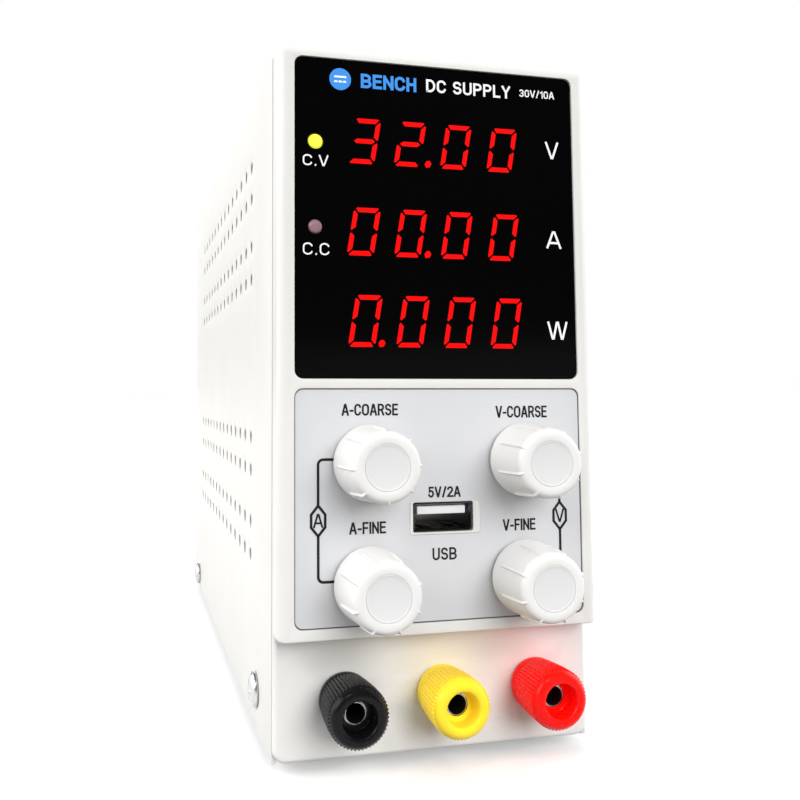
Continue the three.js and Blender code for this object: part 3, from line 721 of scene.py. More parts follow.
def segment(letter, h):
    """The outline of one bar of a digit of height h, upright, from its lower left corner."""
    w, t, k = DIGIT_WIDTH, DIGIT_STROKE, NOTCH
    bar_a = [(k, h), (w - k, h), (w - k + 0.2, h - 0.2), (w - t - 0.15, h - t)]
    bar_a += [(t + 0.15, h - t), (k - 0.2, h - 0.2)]
    bar_f = [(0, h - 0.85), (0.3, h - 0.75), (t, h - 1.55), (t, h / 2 + 1)]
    bar_f += [(0.2, h / 2 + 0.3), (0, h / 2 + 0.5)]
    half_g = [(w - t / 2 - 0.2, h / 2), (w - t / 2 - 0.8, h / 2 - t / 2), (t / 2 + 0.8, h / 2 - t / 2)]

    def across(bar):
        return [(w - x, z) for x, z in bar]

    def down(bar):
        return [(x, h - z) for x, z in bar]

    return {
        "a": bar_a, "b": across(bar_f), "c": down(across(bar_f)), "d": down(bar_a),
        "e": down(bar_f), "f": bar_f, "g": down(across(half_g)) + half_g,
    }[letter]


def lit_bar(outline, x, z):
    slanted = [(x + a + SLANT * b, z + b) for a, b in outline]
    return prism(slanted, (WINDOW["front"] - 0.06, WINDOW["front"] + 0.2))


def digits():
    """Three rows of lit seven-segment digits."""
    # Each row is its text, foot, height, left edges of the digits and left edge of the point.
    rows = {
        "volts": ("3200", 131.2, 10.3, (-21.6, -10.8, 0.3, 11.7), -3.5),
        "amps": ("0000", 110.4, 10.8, (-21.9, -10.9, 0.2, 11.7), -3.8),
        "watts": ("0000", 90.1, 11.5, (-21.7, -10.6, 0.6, 12.0), -14.8),
    }
    for name, (text, z, height, lefts, point) in rows.items():
        bars = []
        for digit, x in zip(text, lefts):
            bars += [lit_bar(segment(letter, height), x, z) for letter in SEGMENTS[digit]]
        dot = [(0, 0.8), (0.35, 1.5), (1.05, 1.6), (1.6, 0.9), (1.3, 0.1), (0.4, 0)]
        bars.append(lit_bar(dot, point, z))
        piece(f"{name}_digits", together(*bars), "case", "lit_red", slot="display_red")


def bow(box, start, end, steps=10):
    """Part of the ellipse that fills a box (a0, a1, b0, b1), between two angles in degrees."""
    a0, a1, b0, b1 = box
    points = []
    for step in range(steps + 1):
        angle = math.radians(start + (end - start) * step / steps)
        a = (a0 + a1) / 2 + (a1 - a0) / 2 * math.cos(angle)
        points.append((a, (b0 + b1) / 2 + (b1 - b0) / 2 * math.sin(angle)))
    return points


def ring_letter(width):
    """A narrow O."""
    return bow((0, width, 0.4, 1), 0, 180) + bow((0, width, 0, 0.6), 180, 360) + [(width, 0.7)]


UPPER_BOWL = [(0, 1), (0.28, 1), *bow((0.02, 0.54, 0.48, 1), 90, -90), (0, 0.48)]
LOWER_BOWL = [(0, 0.5), (0.3, 0.5), *bow((0.02, 0.58, 0, 0.5), 90, -90), (0, 0)]

STEM = [(0, 0), (0, 1)]

# Each letter is its width and its strokes, for a height of 1.
LETTERS = {
    "A": (0.62, [[(0, 0), (0.27, 1), (0.35, 1), (0.62, 0)], [(0.1, 0.3), (0.52, 0.3)]]),
    "B": (0.58, [STEM, UPPER_BOWL, LOWER_BOWL]),
    "C": (0.58, [bow((0, 0.58, 0.4, 1), 18, 180) + bow((0, 0.58, 0, 0.6), 180, 342)]),
    "D": (0.58, [[(0, 0), (0, 1), (0.22, 1), *bow((-0.14, 0.58, 0, 1), 90, -90, 14), (0, 0)]]),
    "E": (0.48, [[(0.48, 1), (0, 1), (0, 0), (0.48, 0)], [(0, 0.53), (0.43, 0.53)]]),
    "F": (0.46, [[(0.46, 1), (0, 1), (0, 0)], [(0, 0.5), (0.4, 0.5)]]),
    "H": (0.54, [STEM, [(0.54, 0), (0.54, 1)], [(0, 0.52), (0.54, 0.52)]]),
    "I": (0, [STEM]),
    "L": (0.44, [[(0, 1), (0, 0), (0.44, 0)]]),
    "N": (0.56, [STEM, [(0.56, 0), (0.56, 1)], [(0.03, 0.92), (0.53, 0.08)]]),
    "O": (0.62, [ring_letter(0.62)]),
    "P": (0.54, [STEM, UPPER_BOWL]),
    "R": (0.56, [STEM, UPPER_BOWL, [(0.3, 0.48), (0.36, 0.42), (0.56, 0)]]),
    "S": (0.54, [bow((0, 0.52, 0.5, 1), 22, 262) + bow((0, 0.54, 0, 0.52), 84, -158)]),
    "U": (0.56, [[(0, 1), *bow((0, 0.56, 0, 0.56), 180, 360), (0.56, 1)]]),
    "V": (0.6, [[(0, 1), (0.27, 0), (0.33, 0), (0.6, 1)]]),
    "W": (0.86, [[(0, 1), (0.19, 0), (0.24, 0), (0.4, 1), (0.46, 1), (0.62, 0), (0.67, 0), (0.86, 1)]]),
    "Y": (0.56, [[(0, 1), (0.28, 0.44), (0.56, 1)], [(0.28, 0.46), (0.28, 0)]]),
    "0": (0.52, [ring_letter(0.52)]),
    "1": (0.24, [[(0, 0.76), (0.14, 0.84), (0.24, 1), (0.24, 0)]]),
    "2": (0.52, [bow((0, 0.52, 0.46, 1), 165, -30) + [(0.02, 0.06), (0, 0), (0.54, 0)]]),
    "3": (0.52, [bow((0.02, 0.5, 0.5, 1), 155, -90) + bow((0, 0.52, 0, 0.5), 90, -155)]),
    "5": (0.52, [[(0.48, 1), (0.1, 1), (0.05, 0.5), *bow((0, 0.52, 0, 0.64), 125, -155)]]),
    "/": (0.32, [[(0, -0.02), (0.32, 1.02)]]),
    "-": (0.24, [[(0, 0.4), (0.24, 0.4)]]),
    " ": (0.16, []),
    ".": (0, [[(0, 0), (0, 0.02)]]),
}
LETTER_GAP = 0.3
STROKE_STAGGER = 0.006  # keeps the faces of crossing strokes apart


def past_end(before, end, more):
    """The point that lies a little further on, past the end."""
    length = math.dist(before, end)
    return tuple(e + (e - b) / length * more for b, e in zip(before, end))


def ribbon(points, half, y, closed=False):
    """A flat bar of one width along (x, z) points, with mitred turns and square ends."""
    points = [p for i, p in enumerate(points) if i == 0 or math.dist(p, points[i - 1]) > 1e-6]
    count = len(points)
    if not closed:
        points[0] = past_end(points[1], points[0], half)
        points[-1] = past_end(points[-2], points[-1], half)
    loops = []
    for i, (px, pz) in enumerate(points):
        ways = []
        if closed or i > 0:
            ways.append((px - points[i - 1][0], pz - points[i - 1][1]))
        if closed or i < count - 1:
            after = points[(i + 1) % count]
            ways.append((after[0] - px, after[1] - pz))
        normals = [(-b / math.hypot(a, b), a / math.hypot(a, b)) for a, b in ways]
        across = (sum(n[0] for n in normals), sum(n[1] for n in normals))
        length = math.hypot(*across)
        across = (across[0] / length, across[1] / length)
        mitre = min(1.7, 1 / max(0.1, across[0] * normals[0][0] + across[1] * normals[0][1]))
        a, b = across[0] * half * mitre, across[1] * half * mitre
        edges = [(px - a, pz - b), (px + a, pz + b)]
        loops.append([(x, y[0], z) for x, z in edges] + [(x, y[1], z) for x, z in reversed(edges)])
    return loft(loops, closed)


def legend(name, text, x, z, front, ink, stroke):
    """Printed letters of one stroke width that fill the box x by z."""
    half = stroke / 2
    total = sum(LETTERS[letter][0] for letter in text) + LETTER_GAP * (len(text) - 1)
    wide = (x[1] - x[0] - stroke) / total
    high = z[1] - z[0] - stroke
    start = x[0] + half
    bars = []
    for letter in text:
        width, strokes = LETTERS[letter]
        for layer, points in enumerate(strokes):
            placed = [(start + a * wide, z[0] + half + b * high) for a, b in points]
            lift = STROKE_STAGGER * layer
            bars.append(ribbon(placed, half, (front + lift, front + 0.1 + lift)))
        start += (width + LETTER_GAP) * wide
    piece(name, together(*bars), "case", ink, slot="overlay_print")


def band_between(outer, inner, to_point, low, high):
    """A closed band between two outlines of (a, b) pairs, each set out by to_point(a, b, height)."""
    sections = ((outer, low), (outer, high), (inner, high), (inner, low))
    return loft([[to_point(a, b, height) for a, b in outline] for outline, height in sections], ring=True)


def legends():
    ink_front = WINDOW["front"] - 0.05
    window_words = {
        "legend_cv": ("C.V", (-31.8, -26), (130.1, 132.6), 0.34),
        "legend_cc": ("C.C", (-31.8, -25.8), (110.2, 112.9), 0.34),
        "legend_volts": ("V", (26.8, 30.2), (135.1, 139.2), 0.5),
        "legend_amps": ("A", (26.6, 30.4), (113.7, 117.8), 0.5),
        "legend_watts": ("W", (26.4, 31.5), (92.3, 96.5), 0.5),
        "legend_supply": ("DC SUPPLY", (-2.8, 18.1), (148.9, 151.9), 0.5),
        "legend_rating": ("30V/10A", (20.4, 29.4), (149.6, 151.4), 0.28),
    }
    for name, (text, x, z, stroke) in window_words.items():
        legend(name, text, x, z, ink_front, "white_ink_painted_glow", stroke)
    legend("legend_kind", "BENCH", (-18.4, -5.2), (148.6, 151.9), ink_front, "blue_ink_painted_glow", 0.66)
    panel_front = OVERLAY["front"] - 0.05
    panel_words = {
        "legend_amps_coarse": ("A-COARSE", (-23.2, -10.3), (75.0, 77.6)),
        "legend_volts_coarse": ("V-COARSE", (13.0, 25.7), (74.3, 77.0)),
        "legend_amps_fine": ("A-FINE", (-21.6, -13.3), (49.4, 52.0)),
        "legend_volts_fine": ("V-FINE", (14.3, 22.3), (48.9, 51.5)),
        "legend_charger": ("5V/2A", (-3.5, 4.2), (56.8, 59.2)),
        "legend_usb": ("USB", (-2.6, 3.1), (43.1, 45.8)),
        "legend_amps_sign": ("A", (-29.6, -27.4), (51.1, 54.1)),
        "legend_volts_sign": ("V", (27.3, 29.5), (50.4, 53.4)),
    }
    for name, (text, x, z) in panel_words.items():
        legend(name, text, x, z, panel_front, "dark_ink", 0.42)


def badge():
    """A plain round emblem with the direct-current sign."""
    front = WINDOW["front"] - 0.05
    disc = turned(-23.2, 150.2, [(0, front), (2.5, front), (2.5, front + 0.1), (0, front + 0.1)], 48)
    piece("emblem", disc, "case", "blue_ink_painted_glow", slot="overlay_print")
    y = span(front, 0.05)
    bars = [block((-24.6, -21.8), y, (150.5, 150.95))]
    bars += [block((x, x + 0.75), y, (149.4, 149.85)) for x in (-24.6, -23.6, -22.6)]
    piece("emblem_sign", together(*bars), "case", "white_ink_painted_glow", slot="overlay_print")


def bracket(side, x_line, x_knob, z_top, z_bottom, sign_z):
    """The line that joins a pair of knobs to their long hexagon."""
    y = span(OVERLAY["front"], 0.05)
    half_stroke = 0.29
    turn = 1.1
    corner = math.copysign(turn, x_knob - x_line)
    parts = []
    for z, z_end in ((z_top, sign_z[1]), (z_bottom, sign_z[0])):
        fall = math.copysign(turn, z_end - z)
        path = [(x_knob, z)]
        for step in range(7):
            angle = math.radians(15 * step)
            path.append((x_line + corner * (1 - math.sin(angle)), z + fall * (1 - math.cos(angle))))
        parts.append(ribbon([*path, (x_line, z_end)], half_stroke, y))
    left, right = span(x_line, 1.55)
    low, high = sign_z[0] + 0.3, sign_z[1] - 0.3
    point = 1.9
    hexagon = [(x_line, low), (right, low + point), (right, high - point)]
    hexagon += [(x_line, high), (left, high - point), (left, low + point)]
    parts.append(ribbon(hexagon, half_stroke, y, closed=True))
    piece(f"bracket_{side}", together(*parts), "case", "dark_ink", slot="overlay_print")


# ---- control panel


def control_panel():
    """The printed overlay with its holes, and a dark band round it: a painted shadow in the gap between the
    overlay and the bezel.
    """
    holes = [rod(x, z, SHAFT_HOLE, (-1, 4)) for x, z, _ in KNOBS.values()]
    holes.append(rounded_slab((-7.78, 8.83), (USB_Z - 3.83, USB_Z + 3.43), (-1, 4), 0.73))
    pane_piece("overlay", OVERLAY, "overlay_print", "control_overlay", holes, 0.1)
    outer = rounded_outline(-33.76, 33.76, 29.84, 80.96, 1.86)
    inner = rounded_outline(-33.54, 33.54, 30.06, 80.74, 1.64)
    piece(
        "overlay_shadow_line", band_between(outer, inner, along_y, 0.34, 0.86),
        "case", "overlay_gap_painted_shadow", slot="overlay_print"
    )


KNOB_BASE = 8.3
KNOB_FACE = 7.45
KNOB_LENGTH = 13.4
KNOB_GROOVES = 8
GROOVE_DEPTH = 0.4
GROOVE_HALF_WIDTH = 0.33


def knob(name, x, z, turn):
    """A tapered knob with a rounded rim, eight grooves and a seat for its cap."""
    rim = 1.55
    taper = math.atan2(KNOB_BASE - KNOB_FACE, KNOB_LENGTH)
    side_back = -1.2
    rim_back = -KNOB_LENGTH + rim
    seat, hollow, bore = 4.85, 6.3, 3.1
    profile = [(0, -12.2), (seat, -12.2), (seat, -13.28), (4.88, -13.36), (4.96, -KNOB_LENGTH)]
    first_groove = len(profile)
    face_edge = KNOB_FACE - rim * 0.98
    for step in range(1, 8):
        angle = math.radians(90 - (90 - math.degrees(taper)) * step / 7)
        profile.append((face_edge + rim * math.cos(angle), rim_back - rim * math.sin(angle)))
    rim_radius, rim_y = profile[-1]
    side_steps = 9
    for step in range(1, side_steps + 1):
        part = step / side_steps
        profile.append((rim_radius + (KNOB_BASE - rim_radius) * part, rim_y + (side_back - rim_y) * part))
    last_groove = len(profile)
    profile += [(8.26, -0.75), (8.12, -0.48), (7.9, -0.34), (7.6, -0.3)]
    profile += [(hollow, -0.3), (hollow, -4), (bore, -4), (bore, -11.7), (0, -11.7)]
    depths = []
    for i, (_, y) in enumerate(profile):
        from_base = min(1, max(0, (-y - 3.6) / 0.8))
        over_rim = min(1, max(0, (i - 6.5) / 2.5))
        grooved = first_groove <= i <= last_groove
        depths.append(GROOVE_DEPTH * from_base * over_rim if grooved else 0)
    middle_radius = 7.4
    half_angle = GROOVE_HALF_WIDTH / middle_radius
    pitch = 2 * math.pi / KNOB_GROOVES
    angles = []
    for groove in range(KNOB_GROOVES):
        centre = math.radians(turn) + groove * pitch
        angles += [centre + half_angle * part for part in (-1.25, -1, -0.6, -0.25, 0, 0.25, 0.6, 1, 1.25)]
        rest = pitch - 2.5 * half_angle
        angles += [centre + 1.25 * half_angle + rest * part / 8 for part in range(1, 8)]

    def depth_at(i, angle):
        off = (angle - math.radians(turn) + pitch / 2) % pitch - pitch / 2
        share = max(0.0, 1 - abs(off) / half_angle)
        return depths[i] * (1 - (1 - share) ** 1.6)

    piece(
        f"{name}_grip", carved_turn(x, z, profile, angles, depth_at),
        name, "knob_plastic", f"{name}_knob", 30
    )
    cap_profile = [
        (0, -13.22), (4.25, -13.22), (4.42, -13.26), (4.6, -13.36), (4.74, -13.37),
        (4.8, -13.34), (4.83, -13.27), (4.83, -12.35), (0, -12.35),
    ]
    piece(f"{name}_disc", turned(x, z, cap_profile, 96), name, "knob_cap_plastic", f"{name}_cap")


def usb_socket():
    """The plated shell with its rolled edge and spring tabs, and the contact tongue."""
    front = 0.35
    sections = [
        (6.95, 3.15, 0.8, 11.6), (6.95, 3.15, 0.8, front + 0.2), (6.8, 3, 0.7, front),
        (6.62, 2.82, 0.6, front + 0.05), (6.45, 2.65, 0.5, front + 0.35), (6.4, 2.6, 0.5, front + 0.9),
        (6.4, 2.6, 0.5, 11),
    ]
    loops = []
    for half_x, half_z, corner, y in sections:
        outline = rounded_outline(-half_x, half_x, *span(USB_Z, half_z), corner)
        loops.append([(a, y, b) for a, b in outline])
    shell = make_object("usb_socket_shell", loft(loops))
    paint_faces(shell, "usb_steel", "dark_steel", lambda x, y, z: y > front + 0.3)
    place(shell, "case", "usb_steel", "usb_shell", slot="plated_steel")
    floor_z = USB_Z - 2.6
    tabs = [block(span(x, 1), (2.2, 7.5), (floor_z, floor_z + 0.35)) for x in (-3.4, 3.4)]
    springs = make_object("usb_springs", together(*tabs))
    bevel(springs, 0.15)
    place(springs, "case", "usb_steel", slot="plated_steel")
    block_shape = rounded_slab((-5.75, 5.65), (53.05, 54.85), (1.3, 10.7), 0.25, low_edge=0.2, steps=3)
    piece("usb_contact_block", block_shape, "case", "usb_tongue_plastic", "usb_tongue")
    strips = [block(span(x, 0.5), (2.1, 9.8), (52.93, 53.1)) for x in (-3.65, -1.15, 1.15, 3.65)]
    contacts = make_object("usb_contacts", together(*strips))
    bevel(contacts, 0.05, 1)
    place(contacts, "case", "gold_contact", slot="insert_brass")


# ---- binding posts

RIBS = 50
RIB_DEPTH = 0.34
RIB_SAMPLES = 6


def binding_post(name, x, surface):
    """A ribbed cap that swells towards its rounded front, and the bored stud seen in its mouth."""
    profile = [(3.2, 5.5), (5.6, 5.5), (5.82, 5.38), (5.9, 5.1), (5.88, 3.9), (5.74, 3.65), (5.72, 3.5)]
    ribs_from = len(profile)
    rib_steps = 8
    for step in range(rib_steps + 1):
        part = step / rib_steps
        profile.append((5.74 + 0.52 * math.sin(1.75 * part), 3.3 - 9 * part))
    ribs_to = len(profile)
    profile += [
        (6.24, -5.9), (6.14, -6.25), (5.9, -6.65), (5.55, -6.98), (5.15, -7.2), (4.75, -7.29), (4.4, -7.28),
        (4.1, -7.2), (3.83, -7), (3.66, -6.65), (3.57, -6.1), (3.5, -3.35), (3.35, -3.2), (2.5, -3.2),
        (2.5, -3), (4.3, -3), (4.3, 3.1), (3.2, 3.1),
    ]

    def depth_at(i, angle):
        if not ribs_from <= i < ribs_to:
            return 0
        wave = (1 - math.cos(RIBS * angle)) / 2
        return -RIB_DEPTH * wave ** 0.8

    angles = even_angles(RIBS * RIB_SAMPLES)
    piece(
        f"{name}_sleeve", carved_turn(x, TERMINAL_Z, profile, angles, depth_at, ring=True),
        f"{name}_grip", surface, f"{name}_cap", 40
    )
    tube = [
        (0, 10), (2.1, 10), (2.1, -3.1), (2.15, -3.18), (2.26, -3.18), (2.35, -3.05), (2.35, -2.8),
        (2.7, -2.8), (2.9, -2.6), (2.9, 8.1), (4.9, 8.1), (5, 8.2), (5, 11), (4.9, 11.1), (2.9, 11.1),
        (2.9, 19.7), (2.6, 20), (0, 20),
    ]
    stud = make_object(f"{name}_stud", turned(x, TERMINAL_Z, tube, 48))

    # The bore's faces get the near-black colour: painted shade on the nickel stud.
    def in_bore(face_x, y, z):
        return math.hypot(face_x - x, z - TERMINAL_Z) < 2.12 and y < 10.1

    paint_faces(stud, "post_nickel", "bore_painted_shade", in_bore)
    place(stud, "case", "post_nickel", f"{name}_post")


# ---- rear


def small_screw(name, x, z, seat, radius=2.6):
    """A pan-head Phillips screw seen from behind."""
    profile = [(0, seat + 1.6), (radius * 0.5, seat + 1.55), (radius * 0.8, seat + 1.25)]
    profile += [(radius, seat + 0.7), (radius, seat), (0, seat)]
    obj = make_object(name, turned(x, z, profile, 40))
    cut(obj, cross_recess((x, z), along_y, seat + 1.9, 1.3, radius * 0.55), self_overlap=True)
    place(obj, "case", "plated_steel")


def fan_blade(turn, front, back):
    """A swept, cambered blade from the hub to its tip, at an angle round the axis."""
    middle = (front + back) / 2
    both_sides = [(p / 8, 1) for p in range(9)] + [(p / 8, -1) for p in range(8, -1, -1)]
    loops = []
    for step in range(8):
        out = step / 7
        radius = 12 + 14.8 * out
        chord = 0.62 - 0.12 * out
        section = []
        for part, side in both_sides:
            swell = math.sin(math.pi * part)
            y = middle + (part - 0.5) * 9 + side * (0.12 + 0.45 * swell) * 0.55
            angle = turn + 0.42 * out + (part - 0.5) * chord - 0.027 * swell
            section.append((radius * math.cos(angle), y, FAN_Z + radius * math.sin(angle)))
        loops.append(section)
    return loft(loops)


def fan():
    """The fan's frame and rotor."""
    back = REAR_FACE - SHEET - 0.3
    front = back - 15
    housing = rounded_slab((-30, 30), span(FAN_Z, 30), (front, back), 4, 0.5, 0.5, steps=4)
    obj = make_object("fan_housing", housing)
    bore = [(28.6, front - 1), (28.4, front), (27.9, front + 1.2)]
    bore += [(27.9, back - 1.2), (28.4, back), (28.6, back + 1)]
    cut(obj, turned(0, FAN_Z, bore, 72))
    hub_end = front + 2.5
    hub = [(0, front), (12.8, front), (13, front + 0.2), (13, hub_end), (0, hub_end)]
    join(obj, turned(0, FAN_Z, hub, 48))
    strut = (front, front + 2)
    arms = [(x, span(FAN_Z, 1.2)) for x in ((-29, -12), (12, 29))]
    arms += [((-1.2, 1.2), z) for z in ((FAN_Z + 12, FAN_Z + 29), (FAN_Z - 29, FAN_Z - 12))]
    for x, z in arms:
        join(obj, block(x, strut, z))
    bevel(obj, 0.3, 2, 40)
    place(obj, "case", "fan_plastic", "fan_frame", slot="black_plastic")

    hub_front = front + 2.8
    hub_back = back - 0.8
    cup = [
        (0, hub_front), (12.6, hub_front), (13, hub_front + 0.4), (13, hub_back - 1), (12.7, hub_back - 0.3),
        (12, hub_back), (8, hub_back), (7.8, hub_back - 0.15), (0, hub_back - 0.15),
    ]
    blades = [fan_blade(2 * math.pi * blade / 7, hub_front, hub_back) for blade in range(7)]
    piece(
        "fan_impeller", together(turned(0, FAN_Z, cup, 64), *blades),
        "fan", "fan_plastic", "fan_rotor", slot="black_plastic"
    )


def finger_guard():
    """Three rings and four spokes that end in eyes under their screws."""
    bar = 0.8
    eye = 3.1
    ring_y = REAR_FACE + 0.3 + bar

    def hoop(x, y, z, radius, sides):
        points = [(x + radius * math.cos(t), y, z + radius * math.sin(t)) for t in even_angles(sides)]
        return wire(points, bar, closed=True)

    wires = [hoop(0, ring_y, FAN_Z, radius, 72) for radius in (9, 18, 27)]
    corners = [(sx * FAN_SCREW, sz * FAN_SCREW) for sx in (-1, 1) for sz in (-1, 1)]
    for x, z in corners:
        spoke = []
        for along in (5.2, 9, 14, 18, 23, 27, 29.5, FAN_SCREW * math.sqrt(2) - eye):
            lift = 1.25 if along < 28 else 0.6
            part = along / math.sqrt(2) / FAN_SCREW
            spoke.append((x * part, ring_y + lift, FAN_Z + z * part))
        wires += [wire(spoke, bar), hoop(x, ring_y + 0.25, FAN_Z + z, eye, 28)]
    piece("finger_guard", together(*wires), "case", "guard_wire", "fan_guard")
    for number, (x, z) in enumerate(sorted(corners, key=lambda corner: corner[1])):
        small_screw(f"fan_screw_{number + 1}", x, FAN_Z + z, ring_y + 0.9, 2.9)


def mains_inlet(face, drawer_z):
    """The socket with its three pins, and the well that the fuse drawer slides in."""
    flange = rounded_slab((-25, 25), span(INLET_Z, 15.5), (FLANGE_BACK, face), 3, high_edge=0.6, steps=4)
    obj = make_object("inlet_housing", flange)
    join(obj, block((-13.8, 13.8), (face - 27, face - 1), span(INLET_Z, 13.5)))
    socket_z = INLET_Z + 4.4
    rim = [(-13.2, -8.9), (13.2, -8.9), (13.2, 3.9), (8.2, 8.9), (-8.2, 8.9), (-13.2, 3.9)]
    hollow = [(-12, -8), (12, -8), (12, 3), (7, 8), (-7, 8), (-12, 3)]
    join(obj, prism([(a, socket_z + b) for a, b in rim], (face - 0.5, face + 0.6)))
    cut(obj, prism([(a, socket_z + b) for a, b in hollow], (face - 16, face + 2)))
    cut(obj, block((-11.3, 11.3), (face - 23, face + 1), span(drawer_z, 3.7)))
    bevel(obj, 0.3, 2, 40)
    place(obj, "case", "black_plastic", "power_inlet")
    pins = []
    for x, z in ((-7, -1.5), (0, 2.5), (7, -1.5)):
        size = (span(x, 1), span(socket_z + z, 2), (face - 17, face - 3))
        pins.append(rounded_slab(*size, 0.3, high_edge=0.28, steps=3))
    piece("inlet_pins", together(*pins), "case", "plated_steel")
    for side, x in (("left", -20), ("right", 20)):
        small_screw(f"inlet_screw_{side}", x, INLET_Z, face - 0.1, 2.7)


def fuse_drawer(face, z):
    """The drawer with its finger notch, and the spare fuse that lies in it."""
    drawer = make_object("fuse_drawer_body", block((-11, 11), (face - 22, face - 0.4), span(z, 3.4)))
    join(drawer, block((-5, 5), (face - 1, face + 0.5), span(z, 2)))
    join(drawer, rounded_slab((-11.6, 11.6), span(z, 3.8), (face, face + 1.2), 0.6, high_edge=0.35, steps=3))
    cut(drawer, rounded_slab((-4.5, 4.5), (z - 2.6, z - 1.2), (face + 0.5, face + 2), 0.6))
    cut(drawer, block((-9, 9), (face - 20, face - 3), (z - 2.3, z + 5)))
    bevel(drawer, 0.18, 2, 40)
    place(drawer, "drawer", "black_plastic", "fuse_drawer")
    half_fuse = [(2.05, 4.8), (2.2, 5), (2.2, 9.2), (2, 9.5), (0, 9.5)]
    profile = [(radius, -height) for radius, height in reversed(half_fuse)] + half_fuse
    piece("spare_fuse", turned(face - 11.5, z, profile, 32, along_x), "drawer", "plated_steel")


def power_switch():
    """The rocker switch: its frame, its key and the marks on the key."""
    x, z = SWITCH_X, SWITCH_Z
    face = FLANGE_BACK + 2
    pivot = FLANGE_BACK - 0.6
    flange = rounded_slab(span(x, 10.6), span(z, 7.6), (FLANGE_BACK, face), 1.6, high_edge=0.7, steps=4)
    obj = make_object("switch_frame", flange)
    join(obj, block(span(x, 9.4), (FLANGE_BACK - 18, FLANGE_BACK + 1), span(z, 6.4)))
    cut(obj, rounded_slab(span(x, 8.7), span(z, 5.3), (pivot - 4, face + 1), 0.4))
    bevel(obj, 0.2, 2, 40)
    place(obj, "case", "black_plastic", "switch_housing")

    tilt = math.radians(-11)
    reach = 8.4
    ridge = 3.2
    edge = math.radians(58)

    def tilted(a, height, b):
        """A point of the rocker: a across it, its height from the pivot line, b up."""
        return (
            x + a * math.cos(tilt) - height * math.sin(tilt),
            pivot + a * math.sin(tilt) + height * math.cos(tilt),
            z + b,
        )

    def on_face(a, b, above):
        """A point above the two faces that fall from the rocker's ridge to its edges."""
        fall = (reach * math.cos(edge) - ridge) * abs(a) / (reach * math.sin(edge))
        return tilted(a, ridge + fall + above, b)

    outline = [(0, ridge)]
    for angle in (edge, math.radians(72), math.radians(86)):
        outline.append((reach * math.sin(angle), reach * math.cos(angle)))
    outline.append((5, -1.4))
    outline += [(-a, height) for a, height in reversed(outline[1:])]
    key = loft([[tilted(a, height, b) for a, height in outline] for b in (-5, 5)])
    rocker = make_object("rocker_key", key)
    bevel(rocker, 0.35, 3, 25)
    place(rocker, "rocker", "black_plastic", "switch_rocker")
    rings = []
    for half_a, half_b in ((1.3, 1.7), (0.95, 1.35)):
        rings.append([(4.2 + half_a * math.cos(t), half_b * math.sin(t)) for t in even_angles(32)])
    bar = [(-4.4, -1.7), (-4.0, -1.7), (-4.0, 1.7), (-4.4, 1.7)]
    sunk, proud = -0.1, 0.03
    marks = together(
        band_between(*rings, on_face, sunk, proud),
        loft([[on_face(a, b, above) for a, b in bar] for above in (sunk, proud)]),
    )
    piece("rocker_marks", marks, "rocker", "white_ink_painted_glow", slot="slider_white")


def voltage_selector():
    """The red slide switch with its notched slider."""
    x, z = SELECTOR_X, SWITCH_Z
    plate = (FLANGE_BACK, FLANGE_BACK + 1.4)
    flange = rounded_slab(span(x, 14), span(z, 7.5), plate, 1.2, high_edge=0.4, steps=4)
    obj = make_object("selector_frame", flange)
    join(obj, block(span(x, 11), (FLANGE_BACK - 10, FLANGE_BACK + 1), span(z, 5.5)))
    cut(obj, rounded_slab(span(x, 6.5), span(z, 2.9), (FLANGE_BACK - 5, FLANGE_BACK + 3), 0.5))
    bevel(obj, 0.15, 2, 40)
    place(obj, "case", "selector_red", "selector_housing")
    slider_x = x - 6.5 + 4.3
    front = FLANGE_BACK + 0.6
    size = (span(slider_x, 4), span(z, 2.6), (FLANGE_BACK - 4.7, front))
    slider = make_object("selector_key", rounded_slab(*size, 0.4, high_edge=0.25, steps=3))
    cut(slider, block(span(slider_x, 0.6), (front - 1.2, front + 1), span(z, 4)))
    bevel(slider, 0.1, 1, 40)
    place(slider, "selector", "slider_white", "selector_slider")
    for side, screw_x in (("left", x - 10.3), ("right", x + 10.3)):
        small_screw(f"selector_screw_{side}", screw_x, z, FLANGE_BACK + 1.3, 1.9)


def panel_screws():
    """Screws that hold the rear panel to the chassis and the cover's flanges."""
    for number, (x, z) in enumerate(((-32, 6), (32, 6), (-32, 152), (32, 152))):
        small_screw(f"panel_screw_{number + 1}", x, z, REAR_FACE, 2.6)


# ---- build it all

top_cover()
chassis()
rear_panel()
front_bezel()
feet()
cover_screws()
display()
digits()
legends()
badge()
bracket("amps", -28.5, -24, 65.6, 39.6, (49.0, 56.1))
bracket("volts", 28.4, 26, 65.2, 39.2, (48.5, 55.3))
control_panel()
for knob_name, (knob_x, knob_z, knob_turn) in KNOBS.items():
    knob(knob_name, knob_x, knob_z, knob_turn)
usb_socket()
for (terminal_name, terminal_x), color_name in zip(TERMINALS.items(), TERMINAL_COLORS):
    binding_post(terminal_name, terminal_x, f"terminal_{color_name}")
fan()
finger_guard()
mains_inlet(FLANGE_BACK + 2, DRAWER_Z)
fuse_drawer(FLANGE_BACK + 2.3, DRAWER_Z)
power_switch()
voltage_selector()
panel_screws()

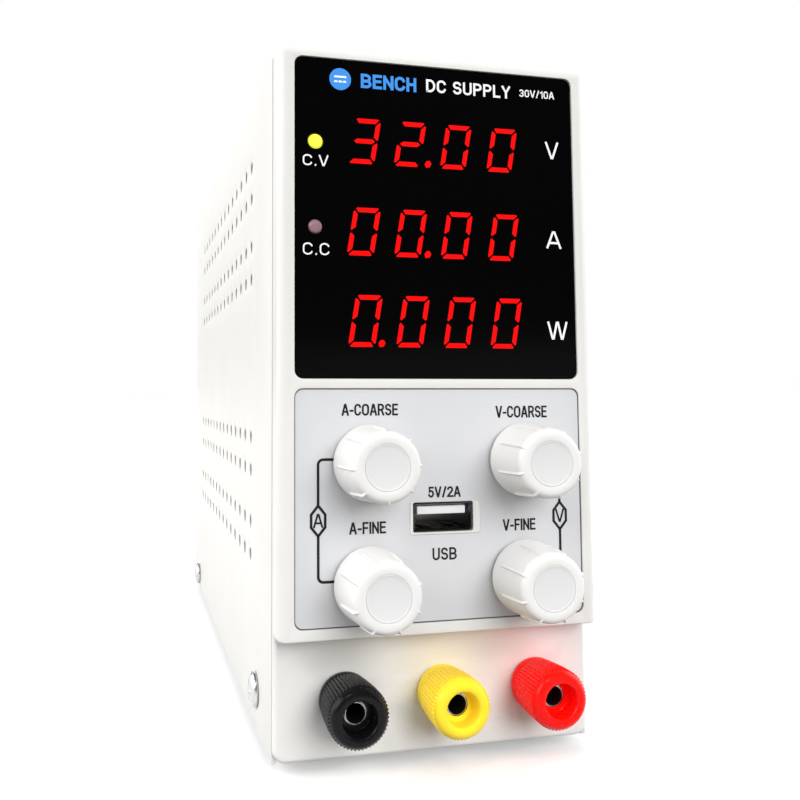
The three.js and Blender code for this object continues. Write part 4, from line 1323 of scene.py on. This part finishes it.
# The pieces inside the case keep their CAD shape.
KEPT = {
    "front_board": "board",
    "main_board": "board",
    "heatsink": "heatsink_aluminium",
    "transformer": "ferrite",
    "bulk_capacitor": "capacitor_sleeve",
}
KEPT.update({f"{row}_display": "display_face" for row in ("volts", "amps", "watts")})
KEPT.update({f"{name}_{part}": "plated_steel" for name in KNOBS for part in ("shaft", "potentiometer")})
KEPT.update({f"{name}_insert": "insert_brass" for name in TERMINALS})
for node_name, surface_name in KEPT.items():
    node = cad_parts[node_name]
    node.data.materials.clear()
    node.data.materials.append(SURFACES[surface_name])

# ---- floor and light


def distant_light(name, direction, strength, spread, glossy=True):
    """Soft even light from far away; direction points towards it."""
    data = bpy.data.lights.new(name, "SUN")
    data.energy = strength
    data.angle = math.radians(spread)
    light = bpy.data.objects.new(name, data)
    bpy.context.scene.collection.objects.link(light)
    light.rotation_euler = Vector(direction).to_track_quat("Z", "Y").to_euler()
    light.visible_glossy = glossy


def floor():
    reach = 40.0
    mesh = bpy.data.meshes.new("floor")
    corners = [(-reach, -reach, 0), (reach, -reach, 0), (reach, reach, 0), (-reach, reach, 0)]
    mesh.from_pydata(corners, [], [(0, 1, 2, 3)])
    mesh.materials.append(SURFACES["floor_paper"])
    obj = bpy.data.objects.new("floor", mesh)
    bpy.context.scene.collection.objects.link(obj)
    obj.visible_diffuse = False


def studio():
    """A white room: even light all round, dimmer than the white that is seen behind the object."""
    world = bpy.data.worlds.new("studio")
    world.use_nodes = True
    tree = world.node_tree
    white = (1, 1, 1, 1)
    lighting = tree.nodes["Background"]
    fill(lighting, {"Color": white, "Strength": 0.2})
    backdrop = add_node(tree, "ShaderNodeBackground", {"Color": white, "Strength": 1.0})[0]
    seen = add_node(tree, "ShaderNodeLightPath", {})["Is Camera Ray"]
    both = add_node(tree, "ShaderNodeMixShader", {0: seen, 1: lighting.outputs[0], 2: backdrop})[0]
    fill(tree.nodes["World Output"], {"Surface": both})
    bpy.context.scene.world = world


floor()
studio()
distant_light("key", (0.3, -1, 0.5), 2.4, 40, glossy=False)
distant_light("left", (-1, -0.3, 0.6), 1.5, 35)
distant_light("side", (-1, 0.5, 0.3), 2.35, 60)
distant_light("glint", (-0.5, -1, 1.3), 0.3, 7)
distant_light("right", (1, 0.1, 0.3), 1.4, 60)
distant_light("back", (0.3, 1, 0.5), 1.2, 60)
bpy.context.scene.view_settings.view_transform = "Standard"
bpy.context.scene.view_settings.look = "None"
